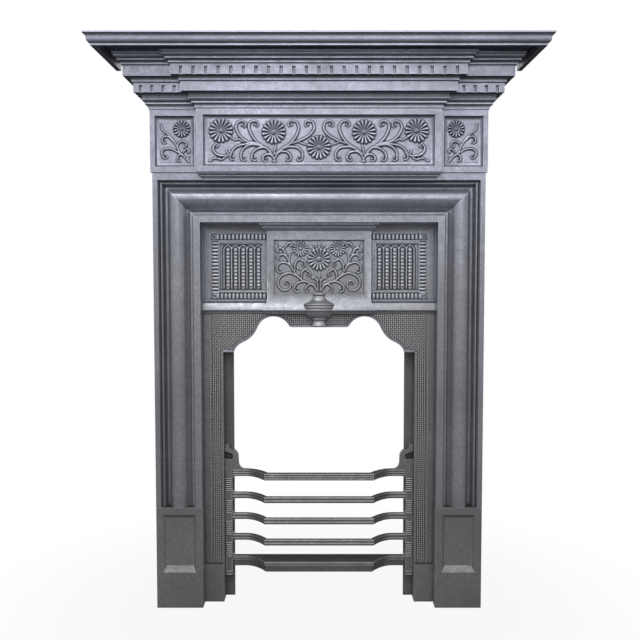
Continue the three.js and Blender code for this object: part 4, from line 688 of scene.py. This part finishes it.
class FIREPLACE_OT_hood_sides(bpy.types.Operator):
    """Rows of beads, fillets, flutes and corner rings on the sides of the hood"""

    bl_idname = "fireplace.hood_sides"
    bl_label = "Hood, Side Panels"

    def execute(self, context):
        pitch = context.scene.fireplace_relief.flute_pitch / MM
        beads = Relief(126.4, 220.6, 702.1, 807.1, 0.8)
        columns = [202.5 - 17.03 * k for k in range(5)]
        for x in columns:
            beads.stroke([(x, 793), (x, 711)], (4.6, 4.6), 0.9, smooth=False)
            for k in range(11):
                beads.dot(x, 790 - pitch * k, 4.6, 3.6, 2.3)
            arch = [(x - 8.5, 791), (x - 6, 798), (x, 801), (x + 6, 798), (x + 8.5, 791)]
            beads.stroke(arch, (2, 2), 3.4)
            beads.stroke([(x - 3, 708), (x, 704)], (1.2, 0.8), 2, smooth=False)
            beads.stroke([(x + 3, 708), (x, 704)], (1.2, 0.8), 2, smooth=False)
        for x in [211.4 - 17.03 * k for k in range(6)]:
            beads.stroke([(x, 793), (x, 706)], (2, 2), 3.4, smooth=False)
        beads.stroke([(127, 804.8), (220, 804.8)], (1.4, 1.4), 2.2, smooth=False)
        beads.soften()
        upright = Relief(222.2, 239.2, 691, 813, 0.8)
        for k in range(15):
            upright.stroke([(226.5, 806 - pitch * k), (234.8, 806 - pitch * k)], (2.9, 2.9), 2.2, smooth=False)
        upright.stroke([(223.2, 694), (223.2, 811)], (0.9, 0.9), 1.6, smooth=False)
        upright.stroke([(238.3, 694), (238.3, 811)], (0.9, 0.9), 1.6, smooth=False)
        top = Relief(115.6, 240.2, 812.6, 827.2, 0.8)
        bottom = Relief(115.6, 240.2, 682.2, 699.6, 0.8)
        for k in range(13):
            x = 121.4 + 8.6 * k
            top.stroke([(x, 816.5), (x, 823.5)], (3.4, 3.4), 2.2, smooth=False)
            bottom.stroke([(x, 685.6), (x, 691.4)], (3.4, 3.4), 2, smooth=False)
        bottom.stroke([(117, 698), (222, 698)], (1.3, 1.3), 1.8, smooth=False)
        for relief, z in ((top, 819.6), (bottom, 688.6)):
            x = 232.4
            ring = [(x + 4.6 * math.cos(a), z + 4.6 * math.sin(a)) for a in np.linspace(0, 2 * math.pi, 25)]
            relief.stroke(ring, (1.5, 1.5), 2.2, smooth=False)
            relief.dot(x, z, 2, 2, 1.8)
        for relief, name, face in ((beads, "beads", HOOD_BEAD_FLOOR), (upright, "upright_flutes", HOOD_FIELD),
                                   (top, "upper_flutes", HOOD_FIELD), (bottom, "lower_flutes", HOOD_FIELD)):
            relief.piece(f"hood_{name}_right", face, "polished_iron")
            relief.mirrored().piece(f"hood_{name}_left", face, "polished_iron")
        return {"FINISHED"}


class FIREPLACE_OT_hood_urn(bpy.types.Operator):
    """The reeded half urn on the front of the hood"""

    bl_idname = "fireplace.hood_urn"
    bl_label = "Hood, Urn"

    # (half width, height above the floor, 1 where the bowl is reeded), in mm
    PROFILE = (
        (0.5, 622.2, 0), (17, 622.2, 0), (18, 623, 0), (18, 625.5, 0), (16.8, 626.6, 0), (15.2, 627.2, 0),
        (15.2, 629.4, 0), (13.8, 630.4, 0), (12.9, 633.6, 0), (12.6, 636.4, 0), (15, 637.4, 0), (15.4, 638.8, 0),
        (15, 640.2, 0), (14.6, 640.8, 0.2), (20, 642.6, 0.7), (24.6, 645.6, 1), (27.6, 649.2, 1),
        (29.6, 653.4, 1), (30.2, 655.6, 0.5), (30.4, 656.4, 0), (33.4, 657, 0), (34, 658.2, 0), (34, 660, 0),
        (33.2, 660.8, 0), (31.8, 661.2, 0), (31.8, 663, 0), (34.2, 663.6, 0), (34.6, 664.8, 0),
        (34.4, 666.6, 0), (32.4, 667.2, 0), (32.4, 668.6, 0), (34.6, 669.2, 0), (34.8, 671.4, 0), (33.6, 672.4, 0),
        (27, 675.6, 0), (21.5, 678.2, 0), (17, 681, 0), (13.6, 684.6, 0), (12, 688.6, 0), (11.4, 690.4, 0),
        (13.4, 691.2, 0), (14.4, 692.6, 0), (14.6, 694.6, 0), (13.6, 696, 0), (0.5, 696.4, 0),
    )

    def execute(self, context):
        reeds = context.scene.fireplace_relief.urn_reeds
        turns = np.linspace(-0.02, math.pi + 0.02, 113)
        verts = []
        for radius, height, reeded in self.PROFILE:
            for a in turns:
                cut = 1 - 0.09 * reeded * (1 - abs(math.sin(reeds / 2 * a)) ** 0.7)
                x = radius * cut * math.cos(a)
                depth = radius * cut * math.sin(a) * URN_DEPTH
                verts.append((x, HOOD_FRONT_FACE + 0.3 - max(depth, -0.4), height))
        faces = grid_faces(len(self.PROFILE), len(turns))
        urn = mesh_object("hood_urn", verts, faces, "polished_iron")
        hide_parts("canopy_urn")
        return {"FINISHED"}


# ------------------------------------------------------------------ apron, legs and bars


def apron_edge():
    """Lower edge of the apron from the left leg to the right one, as points of (x, z) in mm."""
    def bend(a, b, c, n):
        t = np.linspace(0, 1, n)[:, None]
        a, b, c = (np.array(q, float) for q in (a, b, c))
        return (1 - t) ** 2 * a + 2 * t * (1 - t) * b + t**2 * c

    start, end, radius, centre = 0.46, 0.56, 38.6, (-101, 605.4)
    turn = np.linspace(math.pi - start, end, 22)
    lobe = np.stack([centre[0] + radius * np.cos(turn), centre[1] + radius * np.sin(turn)], axis=1)
    left = np.vstack([
        bend((-213.5, 564), (-200, 564), (-190, 564), 8),
        bend((-190, 564), (-186, 579), (-168, 587), 12)[1:],
        bend((-168, 587), (-146, 596), lobe[0], 8)[1:],
        lobe[1:],
        bend(lobe[-1], (-65, 620), (-61, 620), 5)[1:],
        bend((-61, 620), (-30, 620), (0, 620), 8)[1:],
    ])
    right = left[::-1][1:] * (-1, 1)
    return np.vstack([left, right])


class FIREPLACE_OT_weave(bpy.types.Operator):
    """Basket weave cast on the legs and the apron"""

    bl_idname = "fireplace.weave"
    bl_label = "Basket Weave"

    def execute(self, context):
        s = context.scene.fireplace_relief
        pitch = s.weave_pitch / MM
        height = s.weave_height / MM
        sheet = Relief(-240.9, 240.9, 93.4, 650.6, pitch / 4)
        across = np.abs(np.sin(math.pi * sheet.X / pitch))
        up = np.abs(np.sin(math.pi * (sheet.Z - sheet.z[0]) / pitch))
        over = (np.floor(sheet.X / pitch) + np.floor((sheet.Z - sheet.z[0]) / pitch)) % 2 > 0.5
        sheet.H = height * np.where(over, across**0.7 * up**0.3, 0.8 * across**0.3 * up**0.7)
        edge = apron_edge()
        lower = np.interp(np.abs(sheet.X), edge[edge[:, 0] >= 0, 0], edge[edge[:, 0] >= 0, 1])
        keep = (sheet.Z > lower + 3) | (np.abs(sheet.X) > 218.4)
        near = np.full(sheet.X.shape, 99.0)  # distance to the apron's rim, only worked out close to it
        strip = (sheet.Z > 555) & (np.abs(sheet.X) < 222)
        x, z = sheet.X[strip], sheet.Z[strip]
        distance = np.full(x.shape, 99.0)
        for a, b in zip(edge, edge[1:]):
            d = b - a
            u = np.clip(((x - a[0]) * d[0] + (z - a[1]) * d[1]) / (d @ d), 0, 1)
            distance = np.minimum(distance, np.hypot(x - a[0] - u * d[0], z - a[1] - u * d[1]))
        near[strip] = distance
        keep &= (near > 4.4) | (np.abs(sheet.X) > 218.4)
        sheet.piece("leg_and_apron_weave", APRON_FACE, "dark_iron", keep=keep)
        return {"FINISHED"}


class FIREPLACE_OT_apron_rim(bpy.types.Operator):
    """Double raised rim along the lower edge of the apron"""

    bl_idname = "fireplace.apron_rim"
    bl_label = "Apron Rim"

    def execute(self, context):
        rim = ((0.3, -0.3), (0.3, 1.1), (0.7, 1.6), (1.3, 1.8), (1.9, 1.6), (2.3, 0.9), (2.7, 0.5), (3.1, 0.9),
               (3.5, 1.5), (4.1, 1.7), (4.7, 1.5), (5.1, 1), (5.2, -0.3))
        band("apron_rim", apron_edge(), rim, APRON_FACE, "polished_iron")
        return {"FINISHED"}


class FIREPLACE_OT_bar_ribs(bpy.types.Operator):
    """Groups of small ribs on the two end stiles of the fire bars"""

    bl_idname = "fireplace.bar_ribs"
    bl_label = "Fire Bar Ribs"

    # Lowest and highest rib of each group, in mm above the floor
    GROUPS = ((247.5, 275), (196.5, 224), (147, 177), (96.5, 128), (54.5, 61))

    def execute(self, context):
        stile = Relief(197.1, 212.2, 53.6, 279, 1.2, 0.6)
        for low, high in self.GROUPS:
            count = round((high - low) / 4.5) + 1
            for z in np.linspace(low, high, count):
                stile.stroke([(198, z), (211.6, z)], (1.9, 1.9), 1.8, smooth=False)
        for x in (198, 211.4):
            stile.stroke([(x, 56), (x, 277)], (0.8, 0.8), 0.9, smooth=False)
        stile.piece("stile_ribs_right", STILE_FACE, "dark_iron", body="bars", bare=True)
        stile.mirrored().piece("stile_ribs_left", STILE_FACE, "dark_iron", body="bars", bare=True)
        return {"FINISHED"}


# ------------------------------------------------------------------ stage


class FIREPLACE_OT_stage(bpy.types.Operator):
    """Pale floor, soft lights, white surroundings and the camera"""

    bl_idname = "fireplace.stage"
    bl_label = "Stage"

    def execute(self, context):
        scene = context.scene
        s = scene.fireplace_stage
        scene.view_settings.view_transform = "Standard"
        self.floor()
        self.surroundings(scene, s.room_light)
        self.lamp("key_light", *KEY_LAMP, s.key_power)
        self.lamp("top_light", *TOP_LAMP, s.top_power)
        self.lamp("fill_light", *FILL_LAMP, s.fill_power)
        data = bpy.data.cameras.new("view_from_the_front")
        data.sensor_width = 36
        data.lens = s.lens
        camera = bpy.data.objects.new("view_from_the_front", data)
        camera.location = (s.camera_offset, -s.camera_distance, s.camera_height)
        camera.rotation_euler = (math.pi / 2 - s.camera_pitch, 0, 0)
        scene.collection.objects.link(camera)
        scene.camera = camera
        return {"FINISHED"}

    def lamp(self, name, where, aim, size, power):
        """One soft rectangular lamp."""
        data = bpy.data.lights.new(name, "AREA")
        data.shape = "RECTANGLE"
        data.size, data.size_y = size
        data.energy = power
        lamp = bpy.data.objects.new(name, data)
        lamp.location = where
        lamp.rotation_euler = (Vector(aim) - Vector(where)).to_track_quat("-Z", "Y").to_euler()
        bpy.context.scene.collection.objects.link(lamp)

    def floor(self):
        """Pale floor that keeps the shadow and fades to white away from the fireplace."""
        reach = FLOOR_REACH
        mesh = bpy.data.meshes.new("floor")
        mesh.from_pydata([(-reach, -reach, 0), (reach, -reach, 0), (reach, reach, 0), (-reach, reach, 0)], [],
                         [(0, 1, 2, 3)])
        floor = bpy.data.objects.new("floor", mesh)
        bpy.context.scene.collection.objects.link(floor)
        material = bpy.data.materials.new("pale_floor")
        material.use_nodes = True
        tree = material.node_tree
        tree.nodes.clear()
        out = node(tree, "ShaderNodeOutputMaterial", (900, 0))
        matt = node(tree, "ShaderNodeBsdfDiffuse", (200, 120), Color=(FLOOR_TONE, FLOOR_TONE, FLOOR_TONE, 1))
        white = node(tree, "ShaderNodeEmission", (200, -60), Strength=1.0)
        paler = node(tree, "ShaderNodeMixShader", (450, 60))
        path = node(tree, "ShaderNodeLightPath", (-300, 320))
        place = node(tree, "ShaderNodeTexCoord", (-700, -200))
        away = node(tree, "ShaderNodeVectorMath", (-450, -200), operation="LENGTH")
        fade = node(tree, "ShaderNodeMapRange", (-250, -200), interpolation_type="SMOOTHSTEP")
        for key, value in FLOOR_FADE:
            fade.inputs[key].default_value = value
        seen = node(tree, "ShaderNodeMath", (0, 200), operation="MULTIPLY")
        link = tree.links.new
        link(place.outputs["Object"], away.inputs[0])
        link(away.outputs["Value"], fade.inputs["Value"])
        link(path.outputs["Is Camera Ray"], seen.inputs[0])
        link(fade.outputs[0], seen.inputs[1])
        link(seen.outputs[0], paler.inputs[0])
        link(matt.outputs[0], paler.inputs[1])
        link(white.outputs[0], paler.inputs[2])
        link(paler.outputs[0], out.inputs[0])
        mesh.materials.append(material)

    def surroundings(self, scene, level):
        """White where it is seen or mirrored, and an even light elsewhere."""
        world = bpy.data.worlds.new("studio")
        scene.world = world
        world.use_nodes = True
        tree = world.node_tree
        tree.nodes.clear()
        out = node(tree, "ShaderNodeOutputWorld", (600, 0))
        back = node(tree, "ShaderNodeBackground", (400, 0), Color=(1, 1, 1, 1))
        path = node(tree, "ShaderNodeLightPath", (-400, 0))
        mirrored = node(tree, "ShaderNodeMath", (-150, 60), operation="MAXIMUM")
        seen = node(tree, "ShaderNodeMath", (50, 0), operation="MAXIMUM")
        strength = node(tree, "ShaderNodeMapRange", (220, 0))
        strength.inputs["To Min"].default_value = level
        strength.inputs["To Max"].default_value = 1.0
        link = tree.links.new
        link(path.outputs["Is Camera Ray"], mirrored.inputs[0])
        link(path.outputs["Is Transmission Ray"], mirrored.inputs[1])
        link(mirrored.outputs[0], seen.inputs[0])
        link(path.outputs["Is Glossy Ray"], seen.inputs[1])
        link(seen.outputs[0], strength.inputs["Value"])
        link(strength.outputs[0], back.inputs["Strength"])
        link(back.outputs[0], out.inputs[0])


# ------------------------------------------------------------------ panel and run


OPERATORS = (
    FIREPLACE_OT_castings,
    FIREPLACE_OT_frieze_middle,
    FIREPLACE_OT_frieze_ends,
    FIREPLACE_OT_hood_front,
    FIREPLACE_OT_hood_sides,
    FIREPLACE_OT_hood_urn,
    FIREPLACE_OT_weave,
    FIREPLACE_OT_apron_rim,
    FIREPLACE_OT_bar_ribs,
    FIREPLACE_OT_stage,
)
SETTINGS = (
    ("fireplace_finish", FinishSettings),
    ("fireplace_relief", ReliefSettings),
    ("fireplace_stage", StageSettings),
)


class FIREPLACE_PT_panel(bpy.types.Panel):
    """The fireplace's pieces and sizes"""

    bl_label = "Cast Iron Fireplace"
    bl_idname = "FIREPLACE_PT_panel"
    bl_space_type = "VIEW_3D"
    bl_region_type = "UI"
    bl_category = "Fireplace"

    def draw(self, context):
        layout = self.layout
        for attribute, group in SETTINGS:
            box = layout.box()
            settings = getattr(context.scene, attribute)
            for name in group.__annotations__:
                box.prop(settings, name)
        for operator in OPERATORS:
            layout.operator(operator.bl_idname)


def register():
    for _, group in SETTINGS:
        bpy.utils.register_class(group)
    for operator in OPERATORS:
        bpy.utils.register_class(operator)
    bpy.utils.register_class(FIREPLACE_PT_panel)
    for attribute, group in SETTINGS:
        setattr(bpy.types.Scene, attribute, bpy.props.PointerProperty(type=group))


def unregister():
    for attribute, _ in SETTINGS:
        delattr(bpy.types.Scene, attribute)
    bpy.utils.unregister_class(FIREPLACE_PT_panel)
    for operator in reversed(OPERATORS):
        bpy.utils.unregister_class(operator)
    for _, group in reversed(SETTINGS):
        bpy.utils.unregister_class(group)


def main():
    """Builds everything in order."""
    register()
    bpy.ops.fireplace.castings()
    bpy.ops.fireplace.frieze_middle()
    bpy.ops.fireplace.frieze_ends()
    bpy.ops.fireplace.hood_front()
    bpy.ops.fireplace.hood_sides()
    bpy.ops.fireplace.hood_urn()
    bpy.ops.fireplace.weave()
    bpy.ops.fireplace.apron_rim()
    bpy.ops.fireplace.bar_ribs()
    bpy.ops.fireplace.stage()


if __name__ == "__main__":
    main()
